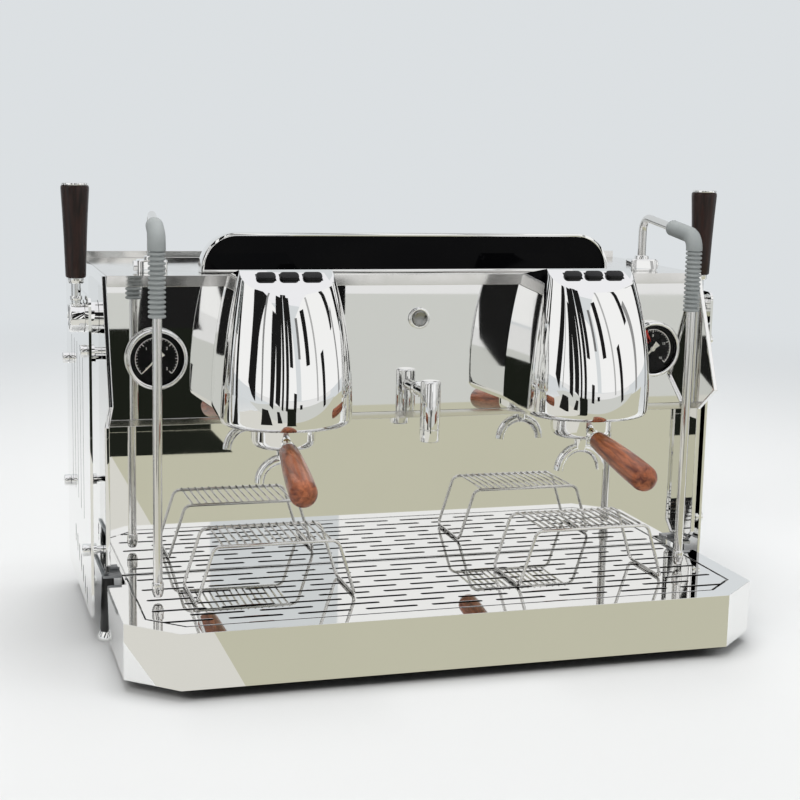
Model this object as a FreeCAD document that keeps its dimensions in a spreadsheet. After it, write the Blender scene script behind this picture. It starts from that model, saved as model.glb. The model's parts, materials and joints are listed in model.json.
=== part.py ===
import FreeCAD
import Part
import math
import os
import Sketcher

# Two-group espresso machine, built from one sheet of driving dimensions.
# X runs from the left group to the right group, Y from the front to the rear, Z up.
# Y = 0 is the face of the polished wall behind the groups, Z = 0 the counter top.

doc = FreeCAD.newDocument("EspressoMachine")
sheet = doc.addObject("Spreadsheet::Sheet", "Sizes")


class Size:
    """A length or an angle: its value now, and the text that ties it to the sheet."""

    def __init__(self, value, text):
        self.value = value
        self.text = text

    def __add__(self, other):
        other = size(other)
        return Size(self.value + other.value, "(" + self.text + " + " + other.text + ")")

    def __radd__(self, other):
        return size(other) + self

    def __sub__(self, other):
        other = size(other)
        return Size(self.value - other.value, "(" + self.text + " - " + other.text + ")")

    def __rsub__(self, other):
        return size(other) - self

    def __mul__(self, other):
        other = size(other)
        return Size(self.value * other.value, "(" + self.text + " * " + other.text + ")")

    def __rmul__(self, other):
        return size(other) * self

    def __truediv__(self, other):
        other = size(other)
        return Size(self.value / other.value, "(" + self.text + " / " + other.text + ")")

    def __neg__(self):
        return Size(-self.value, "(0 - " + self.text + ")")


def size(number):
    """A plain number as a Size, for zeros and for counted shares."""
    if isinstance(number, Size):
        return number
    return Size(float(number), repr(float(number)))


def sine(angle):
    return Size(math.sin(math.radians(angle.value)), "sin(" + angle.text + " * 1 deg)")


def cosine(angle):
    return Size(math.cos(math.radians(angle.value)), "cos(" + angle.text + " * 1 deg)")


def chord(radius, offset):
    """Half the width of a circle at some offset from its middle."""
    value = math.sqrt(radius.value * radius.value - offset.value * offset.value)
    inside = radius.text + " * " + radius.text + " - " + offset.text + " * " + offset.text
    return Size(value, "sqrt(" + inside + ")")


def half_turn(opposite, adjacent):
    """How far a corner moves along its edge for each millimetre of inset."""
    value = math.tan(math.atan(opposite.value / adjacent.value) / 2)
    return Size(value, "tan(atan(" + opposite.text + " / " + adjacent.text + ") / 2)")


def dimension(alias, value, meaning):
    """Write one driving dimension on its own row of the sheet."""
    dimension.row += 1
    row = str(dimension.row)
    sheet.set("A" + row, alias)
    sheet.set("B" + row, str(value))
    sheet.set("C" + row, meaning)
    sheet.setAlias("B" + row, alias)
    return Size(float(value), "Sizes." + alias)


dimension.row = 0

# General
seam = dimension("seam", 0.3, "gap between neighbouring pieces")
running = dimension("running", 0.06, "radial clearance of a shaft that turns or slides")
sheet_wall = dimension("sheet_wall", 1.5, "thickness of the folded sheet")
body_half_width = dimension("body_half_width", 360, "middle to the outer face of a side panel")
body_rear = dimension("body_rear", 256, "outer face of the rear cover")
top_level = dimension("top_level", 413, "upper face of the top cover")
deck_level = dimension("deck_level", 76, "underside of the base frame")
deck_wall = dimension("deck_wall", 3, "thickness of the base frame plate")

# Side panels and their outer trim
panel_depth = dimension("panel_depth", 5, "folded depth of a side panel")
panel_wall = dimension("panel_wall", 2, "wall of a side panel")
panel_front = dimension("panel_front", 5, "how far the side panel stands before the wall at its top")
nose_reach = dimension("nose_reach", 63, "how far the nose stands before the wall")
nose_level = dimension("nose_level", 278, "height of the nose")
notch_reach = dimension("notch_reach", 24, "how far the lower edge stands before the wall")
notch_level = dimension("notch_level", 249, "height of the notch under the nose")
panel_foot_level = dimension("panel_foot_level", 80, "lower edge of a side panel")
panel_foot_chamfer = dimension("panel_foot_chamfer", 14, "chamfer at the panel's lower front corner")
trim_gap = dimension("trim_gap", 12, "length of the standoffs behind the outer trim")
trim_wall = dimension("trim_wall", 3, "thickness of the outer trim")
trim_front = dimension("trim_front", 12, "how far the trim stands before the wall")
trim_rear_inset = dimension("trim_rear_inset", 2, "trim's rear edge inside the rear cover")
trim_low = dimension("trim_low", 30, "lower edge of the trim")
trim_high = dimension("trim_high", 390, "upper edge of the trim")
trim_corner = dimension("trim_corner", 10, "corner radius of the trim")
groove_width = dimension("groove_width", 3, "width of a vertical groove")
groove_depth = dimension("groove_depth", 1.2, "depth of a vertical groove")
groove_pitch = dimension("groove_pitch", 32, "spacing of the vertical grooves")
groove_first = dimension("groove_first", 60, "first groove behind the wall")
groove_low = dimension("groove_low", 128, "lower end of the front groove")
groove_step = dimension("groove_step", 5, "how much higher each groove ends than the one before")
groove_high = dimension("groove_high", 325, "upper end of the grooves")
slot_first = dimension("slot_first", 36, "first vent slot behind the wall")
slot_pitch = dimension("slot_pitch", 21, "spacing of the vent slots")
slot_low = dimension("slot_low", 44, "middle of the front vent slot")
slot_rise = dimension("slot_rise", 7, "how much higher each vent slot lies than the one before")
slot_length = dimension("slot_length", 18, "straight part of a vent slot")
slot_width = dimension("slot_width", 6, "width of a vent slot")
cap_radius = dimension("cap_radius", 7, "radius of a standoff cap")
cap_height = dimension("cap_height", 8, "how far a standoff cap stands out")
standoff_radius = dimension("standoff_radius", 4, "radius of a standoff post")
cap_front = dimension("cap_front", 4, "front standoffs behind the wall")
cap_rear = dimension("cap_rear", 222, "rear standoffs behind the wall")
cap_high = dimension("cap_high", 330, "upper front standoff")
cap_low = dimension("cap_low", 106, "lower front standoff")
cap_rear_high = dimension("cap_rear_high", 292, "upper rear standoff")
cap_rear_low = dimension("cap_rear_low", 138, "lower rear standoff")

# Polished wall behind the groups
lower_wall_set_back = dimension("lower_wall_set_back", 11, "lower panel behind the upper one")
rail_low = dimension("rail_low", 245, "underside of the rail between the panels")
rail_high = dimension("rail_high", 253, "upper face of that rail")
lower_wall_foot = dimension("lower_wall_foot", 40, "lower edge of the lower panel")
band_height = dimension("band_height", 12.6, "height of the top cover's front flange")
upstand = dimension("upstand", 8, "height of the rail along the top's rear edge")
upstand_inset = dimension("upstand_inset", 12, "that rail inside the rear edge")

# Black display hood
hood_side = dimension("hood_side", 0.5, "hood's end past the outer side of a group cover")
hood_height = dimension("hood_height", 45, "height of the hood")
hood_skirt = dimension("hood_skirt", 4, "straight foot under the hood's rounded ends")
hood_front = dimension("hood_front", 20, "front face of the hood's rim behind the wall")
hood_depth = dimension("hood_depth", 22, "depth of the hood's rim")
hood_wall = dimension("hood_wall", 3.5, "thickness of the rim")
hood_recess = dimension("hood_recess", 2.5, "how far the black face lies inside the rim")

# Drip tray
tray_front = dimension("tray_front", 213, "front face of the tray before the wall")
tray_side_gap = dimension("tray_side_gap", 1, "tray's side inside the side panel's outer face")
tray_corner_run = dimension("tray_corner_run", 52, "front corner, measured across")
tray_corner_depth = dimension("tray_corner_depth", 47, "front corner, measured back")
tray_side_end = dimension("tray_side_end", 26, "rear end of the wide part before the wall")
tray_low = dimension("tray_low", 12, "lower edge of the tray")
tray_high = dimension("tray_high", 72, "upper face of the tray and the grate")
tray_rim = dimension("tray_rim", 22, "width of the rim round the grate")
tray_ledge = dimension("tray_ledge", 7, "ledge that carries the grate")
basin_floor = dimension("basin_floor", 40, "floor of the basin")
tray_tail = dimension("tray_tail", 3, "gap between the tray and the lower panel")
grate_wall = dimension("grate_wall", 2, "thickness of the grate")
grate_gap = dimension("grate_gap", 3, "gap round the grate")
grate_rows = dimension("grate_rows", 13, "rows of slots in the grate")
grate_slots = dimension("grate_slots", 11, "slots in each row")
grate_slot_length = dimension("grate_slot_length", 38, "length of a slot")
grate_slot_width = dimension("grate_slot_width", 3.2, "width of a slot")
grate_margin = dimension("grate_margin", 16, "solid edge of the grate")
arm_width = dimension("arm_width", 30, "width of a tray support arm")
arm_height = dimension("arm_height", 13, "height of a tray support arm")
arm_place = dimension("arm_place", 245, "middle to a tray support arm")
drain_radius = dimension("drain_radius", 12, "radius of the basin's drain")

# Feet
deck_ear = dimension("deck_ear", 12, "how far the deck's ears stand before the wall")
deck_overhang = dimension("deck_overhang", 2, "deck past the side panels' outer face")
foot_inset = dimension("foot_inset", 5, "foot inside the side panel's outer face")
foot_front = dimension("foot_front", 6, "front feet behind the wall")
foot_rear = dimension("foot_rear", 232, "rear feet behind the wall")
foot_top_radius = dimension("foot_top_radius", 6.5, "radius of a foot at its top")
foot_low_radius = dimension("foot_low_radius", 9, "radius of a foot above its cup")
foot_cup_radius = dimension("foot_cup_radius", 12, "radius of a foot's cup")
foot_cup_height = dimension("foot_cup_height", 11, "height of a foot's cup")

# Groups and their covers
group_x = dimension("group_x", 175, "middle to a group's axis")
group_y = dimension("group_y", 85, "group's axis before the wall")
cover_low = dimension("cover_low", 261, "lower edge of a cover")
cover_low_half = dimension("cover_low_half", 71.5, "half width of a cover at its foot")
cover_low_front = dimension("cover_low_front", 157, "cover's foot before the wall")
cover_low_nose = dimension("cover_low_nose", 80, "radius of the cover's nose at its foot")
cover_low_corner = dimension("cover_low_corner", 58, "radius of the nose's corners at the foot")
cover_mid = dimension("cover_mid", 365, "height at which the cover starts to close in")
cover_mid_half = dimension("cover_mid_half", 64, "half width of a cover at that height")
cover_mid_front = dimension("cover_mid_front", 141, "cover's front before the wall there")
cover_mid_nose = dimension("cover_mid_nose", 105, "radius of the cover's nose there")
cover_mid_corner = dimension("cover_mid_corner", 38, "radius of the nose's corners there")
cover_top = dimension("cover_top", 430, "upper plan of the cover, just over its crest")
cover_top_half = dimension("cover_top_half", 49.5, "half width of a cover in that plan")
cover_top_front = dimension("cover_top_front", 108, "cover's front before the wall there")
cover_top_nose = dimension("cover_top_nose", 140, "radius of the cover's nose there")
cover_top_corner = dimension("cover_top_corner", 14, "radius of the nose's corners there")
cover_close = dimension("cover_close", 9, "how far each side closes in towards the wall")
cover_crown = dimension("cover_crown", 426.5, "height of the cover's crest")
cover_crest = dimension("cover_crest", 89, "that crest before the wall")
cover_tilt = dimension("cover_tilt", 33.5, "slope of the facet with the keys, in degrees")
cover_wall = dimension("cover_wall", 2.5, "wall of a cover")
cover_base = dimension("cover_base", 12, "height of the solid ring at the cover's foot")
cover_round = dimension("cover_round", 8, "rounding of the cover's lower edge")
cover_edge = dimension("cover_edge", 2, "rounding of the facet's edge round the nose")
key_width = dimension("key_width", 20.5, "width of a brew key")
key_depth = dimension("key_depth", 11, "depth of a brew key along the facet")
key_rise = dimension("key_rise", 3.6, "how far a key stands above the facet")
key_pitch = dimension("key_pitch", 25.3, "spacing of the keys")
key_place = dimension("key_place", 100, "keys before the wall")
key_shift = dimension("key_shift", 1, "keys to the right of the group's axis")
key_stem = dimension("key_stem", 9, "how far a key reaches below the facet")
key_play = dimension("key_play", 0.4, "gap round a key")

# Group head and portafilter
rim_radius = dimension("rim_radius", 35, "outer radius of a portafilter's rim")
rim_top = dimension("rim_top", 278, "upper edge of a portafilter")
filter_low = dimension("filter_low", 234, "underside of a portafilter's bowl")
filter_wall = dimension("filter_wall", 4.5, "wall of the bowl")
lug_reach = dimension("lug_reach", 4.6, "how far a bayonet lug stands out")
lug_height = dimension("lug_height", 7, "height of a bayonet lug")
lug_width = dimension("lug_width", 16, "width of a bayonet lug")
lug_drop = dimension("lug_drop", 2.6, "lug's upper face below the rim")
lock_turn = dimension("lock_turn", 45, "turn from entry to lock, in degrees")
ring_radius = dimension("ring_radius", 47, "outer radius of the bayonet ring")
ring_low = dimension("ring_low", 264.5, "underside of the bayonet ring")
gasket_height = dimension("gasket_height", 8, "height of the group gasket")
gasket_bore = dimension("gasket_bore", 28.5, "inner radius of the group gasket")
head_top = dimension("head_top", 352, "top of the group head")
head_radius = dimension("head_radius", 40, "radius of the group head above its ring")
neck_level = dimension("neck_level", 318, "height of the neck between head and boiler")
neck_radius = dimension("neck_radius", 17, "radius of that neck")
basket_radius = dimension("basket_radius", 29.2, "outer radius of the filter basket")
basket_depth = dimension("basket_depth", 25, "depth of the filter basket")
basket_wall = dimension("basket_wall", 0.8, "wall of the filter basket")
spout_reach = dimension("spout_reach", 26, "middle to each tip of the double spout")
spout_tip = dimension("spout_tip", 194, "height of the spout's tips")
spout_radius = dimension("spout_radius", 5.5, "outer radius of the spout tube")
spout_bore = dimension("spout_bore", 3.6, "inner radius of the spout tube")
handle_start = dimension("handle_start", 50, "group's axis to the wooden handle")
handle_level = dimension("handle_level", 237, "height of the handle where it starts")
left_lock = dimension("left_lock", -6, "left handle's turn from straight ahead, in degrees")
right_lock = dimension("right_lock", 0, "right handle's turn from straight ahead, in degrees")
handle_tilt = dimension("handle_tilt", 8, "droop of the handle, in degrees")
handle_length = dimension("handle_length", 133, "length of the wooden handle")
handle_thin = dimension("handle_thin", 10.4, "radius of the handle at its ferrule")
handle_thick = dimension("handle_thick", 14.4, "largest radius of the handle")
neck_rod = dimension("neck_rod", 7, "radius of the portafilter's neck")
ferrule_length = dimension("ferrule_length", 9, "length of the chrome ferrule")

# Gauges, power switch and hot water spout
gauge_inset = dimension("gauge_inset", 59.4, "gauge inside the side panel's outer face")
gauge_level = dimension("gauge_level", 321, "height of the gauges")
gauge_radius = dimension("gauge_radius", 34, "outer radius of the gauge bezel")
gauge_reach = dimension("gauge_reach", 11, "how far a gauge stands out")
gauge_case_radius = dimension("gauge_case_radius", 30, "radius of the gauge case behind the panel")
gauge_depth = dimension("gauge_depth", 24, "depth of the case behind the panel")
pointer_length = dimension("pointer_length", 22, "length of the gauge pointer")
pointer_zero = dimension("pointer_zero", 45, "pointer's turn below level at zero, in degrees")
button_x = dimension("button_x", 3, "middle to the power switch")
button_level = dimension("button_level", 362, "height of the power switch")
button_radius = dimension("button_radius", 8.6, "radius of the power button")
button_ring = dimension("button_ring", 12.5, "radius of the switch's ring")
button_reach = dimension("button_reach", 6.5, "how far the button stands out")
water_x = dimension("water_x", 4, "middle to the hot water spout")
water_y = dimension("water_y", 48, "hot water spout before the wall")
water_low = dimension("water_low", 226, "lower end of the hot water spout")
water_high = dimension("water_high", 296, "upper end of the hot water spout")
water_radius = dimension("water_radius", 11.5, "radius of the hot water spout")
water_arm_level = dimension("water_arm_level", 279, "height of the spout's arm")
water_arm_radius = dimension("water_arm_radius", 6.5, "radius of the spout's arm")

# Steam levers
lever_y = dimension("lever_y", 41, "lever behind the wall")
stem_place = dimension("stem_place", 13, "hub's inner face to the lever's stem")
valve_level = dimension("valve_level", 363, "height of the lever's axis")
valve_radius = dimension("valve_radius", 16.5, "radius of the turning hub")
hub_length = dimension("hub_length", 22, "length of the turning hub")
valve_reach = dimension("valve_reach", 10, "side panel's outer face to the hub")
valve_collar = dimension("valve_collar", 19, "radius of the fixed valve collar")
valve_neck = dimension("valve_neck", 7.5, "radius of the valve's neck through the side panel")
valve_length = dimension("valve_length", 71, "valve's body inside the side panel")
valve_spindle = dimension("valve_spindle", 5, "radius of the turning spindle")
lever_stem = dimension("lever_stem", 5.2, "radius of the lever's stem")
lever_handle_low = dimension("lever_handle_low", 407, "lower end of the lever's handle")
lever_handle_high = dimension("lever_handle_high", 508.5, "upper end of the lever's handle")
lever_handle_thin = dimension("lever_handle_thin", 11, "handle's radius at its lower end")
lever_handle_thick = dimension("lever_handle_thick", 15.5, "handle's radius at its upper end")
lever_cap = dimension("lever_cap", 3, "height of the chrome cap")
lever_rod = dimension("lever_rod", 3.5, "radius of the rod inside the handle")

# Steam wands
wand_inset = dimension("wand_inset", 60, "wand's riser inside the side panel's outer face")
wand_y = dimension("wand_y", 37, "wand's riser behind the wall")
wand_radius = dimension("wand_radius", 5, "radius of the wand's tube")
wand_reach = dimension("wand_reach", 131.6, "riser to the hanging part of the wand")
left_wand_turn = dimension("left_wand_turn", 5.7, "outward turn of the left wand, in degrees")
right_wand_turn = dimension("right_wand_turn", 1, "outward turn of the right wand, in degrees")
wand_end = dimension("wand_end", 7, "how far the riser reaches under the top")
wand_crest = dimension("wand_crest", 479, "height of the wand's run over its riser")
wand_slope = dimension("wand_slope", 7, "fall of the wand's run, in degrees")
wand_bend = dimension("wand_bend", 16, "bend radius over the riser")
wand_drop_bend = dimension("wand_drop_bend", 16, "bend radius over the hanging part")
wand_tip = dimension("wand_tip", 76, "height of the nozzle's tip")
nozzle_radius = dimension("nozzle_radius", 6.3, "radius of the nozzle")
nozzle_length = dimension("nozzle_length", 17, "length of the nozzle")
grip_radius = dimension("grip_radius", 9.4, "outer radius of the rubber grip")
grip_valley = dimension("grip_valley", 7.6, "radius between the grip's ribs")
grip_low = dimension("grip_low", 377, "lower end of the grip")
grip_ribs = dimension("grip_ribs", 14, "number of ribs")
grip_rib_pitch = dimension("grip_rib_pitch", 5, "spacing of the ribs")
grip_start = dimension("grip_start", 78, "riser to the grip's start on the run")
fitting_height = dimension("fitting_height", 14, "height of the wand's fitting")
fitting_width = dimension("fitting_width", 17, "width of the fitting's block")
fitting_nut = dimension("fitting_nut", 7, "radius of the fitting's side nut")

# Wire cup stands
stand_left_x = dimension("stand_left_x", -190, "left stand's middle")
stand_right_x = dimension("stand_right_x", 173.5, "right stand's middle")
stand_left_y = dimension("stand_left_y", 84.5, "left stand's middle before the wall")
stand_right_y = dimension("stand_right_y", 93, "right stand's middle before the wall")
stand_depth = dimension("stand_depth", 82, "stand's depth between its rails")
stand_splay = dimension("stand_splay", 17.4, "outward lean of the stand's legs, in degrees")
stand_foot_length = dimension("stand_foot_length", 178, "length of the stand between its feet")
stand_height = dimension("stand_height", 67, "height of the stand")
stand_wire = dimension("stand_wire", 1.8, "radius of the stand's frame wire")
stand_bend = dimension("stand_bend", 7, "bend radius of the frame wire")
stand_cross_wire = dimension("stand_cross_wire", 1.2, "radius of a cross wire")
stand_cross_count = dimension("stand_cross_count", 15, "number of cross wires")

# Inside
post_width = dimension("post_width", 20, "width of a frame post")
boiler_radius = dimension("boiler_radius", 66, "radius of the steam boiler")
boiler_half_length = dimension("boiler_half_length", 215, "half the steam boiler's straight length")
boiler_y = dimension("boiler_y", 172, "steam boiler behind the wall")
boiler_level = dimension("boiler_level", 300, "height of the steam boiler")
boiler_dish = dimension("boiler_dish", 22, "depth of the boiler's dished ends")
boiler_wall = dimension("boiler_wall", 2.5, "wall of the boilers")
brew_radius = dimension("brew_radius", 38, "radius of a brew boiler")
brew_y = dimension("brew_y", 60, "brew boilers behind the wall")
brew_low = dimension("brew_low", 270, "lower end of a brew boiler")
brew_high = dimension("brew_high", 386, "upper end of a brew boiler")
motor_radius = dimension("motor_radius", 48, "radius of the pump motor")
motor_length = dimension("motor_length", 128, "length of the pump motor")
motor_x = dimension("motor_x", -60, "pump end of the motor")
motor_y = dimension("motor_y", 150, "motor behind the wall")
pump_radius = dimension("pump_radius", 28, "radius of the rotary pump")
pump_length = dimension("pump_length", 62, "length of the rotary pump")
control_low_x = dimension("control_low_x", 50, "left end of the control box")
control_high_x = dimension("control_high_x", 190, "right end of the control box")
control_height = dimension("control_height", 70, "height of the control box")
control_front = dimension("control_front", 90, "front of the control box behind the wall")
saddle_inset = dimension("saddle_inset", 15, "boiler saddle inside the end of the boiler's drum")
saddle_half = dimension("saddle_half", 45, "half the width of a boiler saddle")
steam_pipe_x = dimension("steam_pipe_x", 150, "steam outlets on the boiler, from the middle")
steam_pipe_level = dimension("steam_pipe_level", 383, "height of the steam pipes' run")
pipe_radius = dimension("pipe_radius", 4, "radius of the copper pipes")
vent_length = dimension("vent_length", 150, "length of a vent in the rear cover")
vent_width = dimension("vent_width", 5, "height of a vent")
vent_pitch = dimension("vent_pitch", 16, "spacing of the vents")
vent_low = dimension("vent_low", 190, "lowest vent")
drain_y = dimension("drain_y", 14, "basin's drain before the wall")
drain_cup_half = dimension("drain_cup_half", 26, "half the width of the drain cup")
drain_cup_height = dimension("drain_cup_height", 20, "height of the drain cup")
barb_radius = dimension("barb_radius", 8, "radius of the drain's hose barb")
barb_length = dimension("barb_length", 24, "length of the hose barb")
inlet_x = dimension("inlet_x", -240, "water inlet")
inlet_level = dimension("inlet_level", 112, "height of the inlet and the gland")
inlet_radius = dimension("inlet_radius", 8.3, "radius of the inlet's thread")
gland_x = dimension("gland_x", 240, "cable gland")
gland_radius = dimension("gland_radius", 11, "outer radius of the cable gland")
gland_bore = dimension("gland_bore", 5.5, "bore of the cable gland")

doc.recompute()

# Directions in which round pieces are laid, as turns of an upright one.
UPRIGHT = FreeCAD.Rotation(FreeCAD.Vector(1, 0, 0), 0)
FORWARD = FreeCAD.Rotation(FreeCAD.Vector(1, 0, 0), 90)
ALONG_X = FreeCAD.Rotation(FreeCAD.Vector(0, 1, 0), 90)
ALONG_Y = FreeCAD.Rotation(FreeCAD.Vector(1, 0, 0), -90)
LEFT = -1
RIGHT = 1


def bind(item, prop, value):
    """Tie one property of a feature to the sheet."""
    item.setExpression(prop, size(value).text)


def place(item, x, y, z, turn=UPRIGHT):
    """Put a piece at a place given in sizes."""
    spot = FreeCAD.Vector(size(x).value, size(y).value, size(z).value)
    item.Placement = FreeCAD.Placement(spot, turn)
    bind(item, ".Placement.Base.x", x)
    bind(item, ".Placement.Base.y", y)
    bind(item, ".Placement.Base.z", z)
    return item


def box(name, low, high):
    """A block between two corners."""
    block = doc.addObject("Part::Box", name)
    bind(block, "Length", size(high[0]) - low[0])
    bind(block, "Width", size(high[1]) - low[1])
    bind(block, "Height", size(high[2]) - low[2])
    return place(block, low[0], low[1], low[2])


def rod(name, radius, start, length, turn=UPRIGHT):
    """A round bar from its start along its turned axis."""
    bar = doc.addObject("Part::Cylinder", name)
    bind(bar, "Radius", radius)
    bind(bar, "Height", length)
    return place(bar, start[0], start[1], start[2], turn)


def cone(name, low_radius, high_radius, start, length, turn=UPRIGHT):
    taper = doc.addObject("Part::Cone", name)
    bind(taper, "Radius1", low_radius)
    bind(taper, "Radius2", high_radius)
    bind(taper, "Height", length)
    return place(taper, start[0], start[1], start[2], turn)


def hexagon(name, radius, start, length, turn=UPRIGHT):
    """A six-sided nut from its start along its turned axis."""
    nut = doc.addObject("Part::Prism", name)
    nut.Polygon = 6
    bind(nut, "Circumradius", radius)
    bind(nut, "Height", length)
    return place(nut, start[0], start[1], start[2], turn)


def ball(name, radius, x, y, z):
    """A sphere."""
    globe = doc.addObject("Part::Sphere", name)
    bind(globe, "Radius", radius)
    return place(globe, x, y, z)


def bend(name, bend_radius, radius, sweep, x, y, z, turn):
    """A quarter, or less, of a ring of tube, for a bend in a tube or a wire."""
    elbow = doc.addObject("Part::Torus", name)
    bind(elbow, "Radius1", bend_radius)
    bind(elbow, "Radius2", radius)
    bind(elbow, "Angle3", sweep)
    return place(elbow, x, y, z, turn)


def axes(first, second, third):
    """A turn that carries X, Y and Z to three given directions."""
    return FreeCAD.Rotation(FreeCAD.Vector(*first), FreeCAD.Vector(*second), FreeCAD.Vector(*third), "ZXY")


def place_kept(item, x, y, z):
    """Put a piece at a place and keep the turn it has."""
    return place(item, x, y, z, item.Placement.Rotation)


def turn_about(item, axis, angle):
    """Turn a placed piece about its own origin by an angle of the sheet."""
    turn = FreeCAD.Rotation(FreeCAD.Vector(*axis), size(angle).value)
    item.Placement = FreeCAD.Placement(item.Placement.Base, turn)
    bind(item, ".Placement.Rotation.Angle", angle)
    return item


def fuse(name, *pieces):
    whole = doc.addObject("Part::MultiFuse", name)
    whole.Shapes = list(pieces)
    return whole


def cut(name, base, *tools):
    remainder = doc.addObject("Part::Cut", name)
    remainder.Base = base
    remainder.Tool = tools[0] if len(tools) == 1 else fuse(name + "Tools", *tools)
    return remainder


def group(name, *pieces):
    """Separate solids of one kind that share a node."""
    family = doc.addObject("Part::Compound", name)
    family.Links = list(pieces)
    return family


def mirrored(name, piece):
    """The right-hand twin of a left-hand piece."""
    twin = doc.addObject("Part::Mirroring", name)
    twin.Source = piece
    twin.Normal = FreeCAD.Vector(1, 0, 0)
    return twin


def origin_plane(body, role):
    for feature in body.Origin.OriginFeatures:
        if feature.Role == role:
            return feature
    raise ValueError("no plane " + role)


def sketch_on(body, name, role, offset=0):
    """An empty sketch on one of a body's own planes, moved along its normal."""
    sketch = body.newObject("Sketcher::SketchObject", name)
    sketch.AttachmentSupport = [(origin_plane(body, role), "")]
    sketch.MapMode = "FlatFace"
    bind(sketch, ".AttachmentOffset.Base.z", offset)
    return sketch


def hold(sketch, kind, geometry, point, value):
    """Dimension one point of a sketch from the sketch's origin."""
    value = size(value)
    number = sketch.addConstraint(Sketcher.Constraint(kind, -1, 1, geometry, point, value.value))
    sketch.setExpression("Constraints[" + str(number) + "]", value.text)


def outline(sketch, corners):
    """A closed outline of straight edges through corners given in sizes."""
    first = sketch.GeometryCount
    spots = [FreeCAD.Vector(size(u).value, size(v).value, 0) for u, v in corners]
    count = len(spots)
    for index in range(count):
        edge = Part.LineSegment(spots[index], spots[(index + 1) % count])
        sketch.addGeometry(edge, False)
    for index in range(count):
        after = first + (index + 1) % count
        sketch.addConstraint(Sketcher.Constraint("Coincident", first + index, 2, after, 1))
    for index, (u, v) in enumerate(corners):
        hold(sketch, "DistanceX", first + index, 1, u)
        hold(sketch, "DistanceY", first + index, 1, v)
    return sketch


def ring(sketch, u, v, radius):
    """A circle in a sketch."""
    radius = size(radius)
    middle = FreeCAD.Vector(size(u).value, size(v).value, 0)
    number = sketch.addGeometry(Part.Circle(middle, FreeCAD.Vector(0, 0, 1), radius.value), False)
    hold(sketch, "DistanceX", number, 3, u)
    hold(sketch, "DistanceY", number, 3, v)
    bound = sketch.addConstraint(Sketcher.Constraint("Radius", number, radius.value))
    sketch.setExpression("Constraints[" + str(bound) + "]", radius.text)
    return sketch


def pad(body, name, sketch, length, both_ways=False, backwards=False):
    feature = body.newObject("PartDesign::Pad", name)
    feature.Profile = sketch
    feature.Midplane = both_ways
    feature.Reversed = backwards
    bind(feature, "Length", length)
    return feature


def pocket(body, name, sketch, length, both_ways=False, backwards=False):
    feature = body.newObject("PartDesign::Pocket", name)
    feature.Profile = sketch
    feature.Midplane = both_ways
    feature.Reversed = backwards
    bind(feature, "Length", length)
    return feature


def plate(name, role, corners, start, thickness):
    """A body cut from sheet: one outline, padded."""
    body = doc.addObject("PartDesign::Body", name)
    sketch = outline(sketch_on(body, name + "Outline", role, start), corners)
    pad(body, name + "Pad", sketch, thickness)
    return body


def turned(name, profile, spot=(0, 0, 0), turn=UPRIGHT):
    """A body turned about its own axis from a profile of radius and height."""
    body = doc.addObject("PartDesign::Body", name)
    sketch = outline(sketch_on(body, name + "Profile", "XZ_Plane"), profile)
    spin = body.newObject("PartDesign::Revolution", name + "Turning")
    spin.Profile = sketch
    spin.ReferenceAxis = (sketch, ["V_Axis"])
    spin.Angle = 360
    return place(body, spot[0], spot[1], spot[2], turn)


def body_edges(feature, wanted):
    """Names of a feature's edges that the test picks out."""
    doc.recompute()
    return ["Edge" + str(n + 1) for n, edge in enumerate(feature.Shape.Edges) if wanted(edge)]


def body_fillet(body, name, feature, radius, wanted):
    """Round some edges of a body."""
    names = body_edges(feature, wanted)
    soft = body.newObject("PartDesign::Fillet", name)
    soft.Base = (feature, names)
    bind(soft, "Radius", radius)
    return soft


def runs_along(edge, axis):
    """True for a straight edge along X, Y or Z."""
    if not isinstance(edge.Curve, Part.Line):
        return False
    return abs(getattr(edge.Curve.Direction, axis)) > 0.999


def near(value, target, reach=0.01):
    return abs(value - target) < reach


pieces = {}


def piece(name, item):
    """Give a finished sub-part its node's name."""
    item.Label = name
    pieces[name] = item
    return item


# Levels and places that several pieces share.
gauge_x = body_half_width - gauge_inset
foot_x = body_half_width - foot_inset
wand_x = body_half_width - wand_inset
valve_inner = body_half_width + valve_reach
valve_start = body_half_width - valve_length
lever_x = valve_inner + stem_place
saddle_x = boiler_half_length - saddle_inset
hood_half_width = group_x + cover_low_half + hood_side
hood_corner = hood_height - hood_skirt
tray_half_width = body_half_width - tray_side_gap
wall_half = body_half_width - panel_wall - seam
panel_inner = body_half_width - panel_depth
cover_inner = panel_inner - seam
top_under = top_level - sheet_wall
lower_wall_rear = lower_wall_set_back + sheet_wall
rear_inner = body_rear - sheet_wall
trim_inner = body_half_width + trim_gap
trim_outer = trim_inner + trim_wall
deck_top = deck_level + deck_wall
deck_half = body_half_width + deck_overhang
tray_tongue = tray_half_width - tray_rim + sheet_wall
tray_end = lower_wall_set_back - tray_tail
ear_inner = tray_tongue + grate_gap
basin_under = basin_floor - sheet_wall
handle_end = group_y + handle_start + (handle_length - handle_thick) * cosine(handle_tilt) + handle_thick
inlet_reach = handle_end - body_rear


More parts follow.
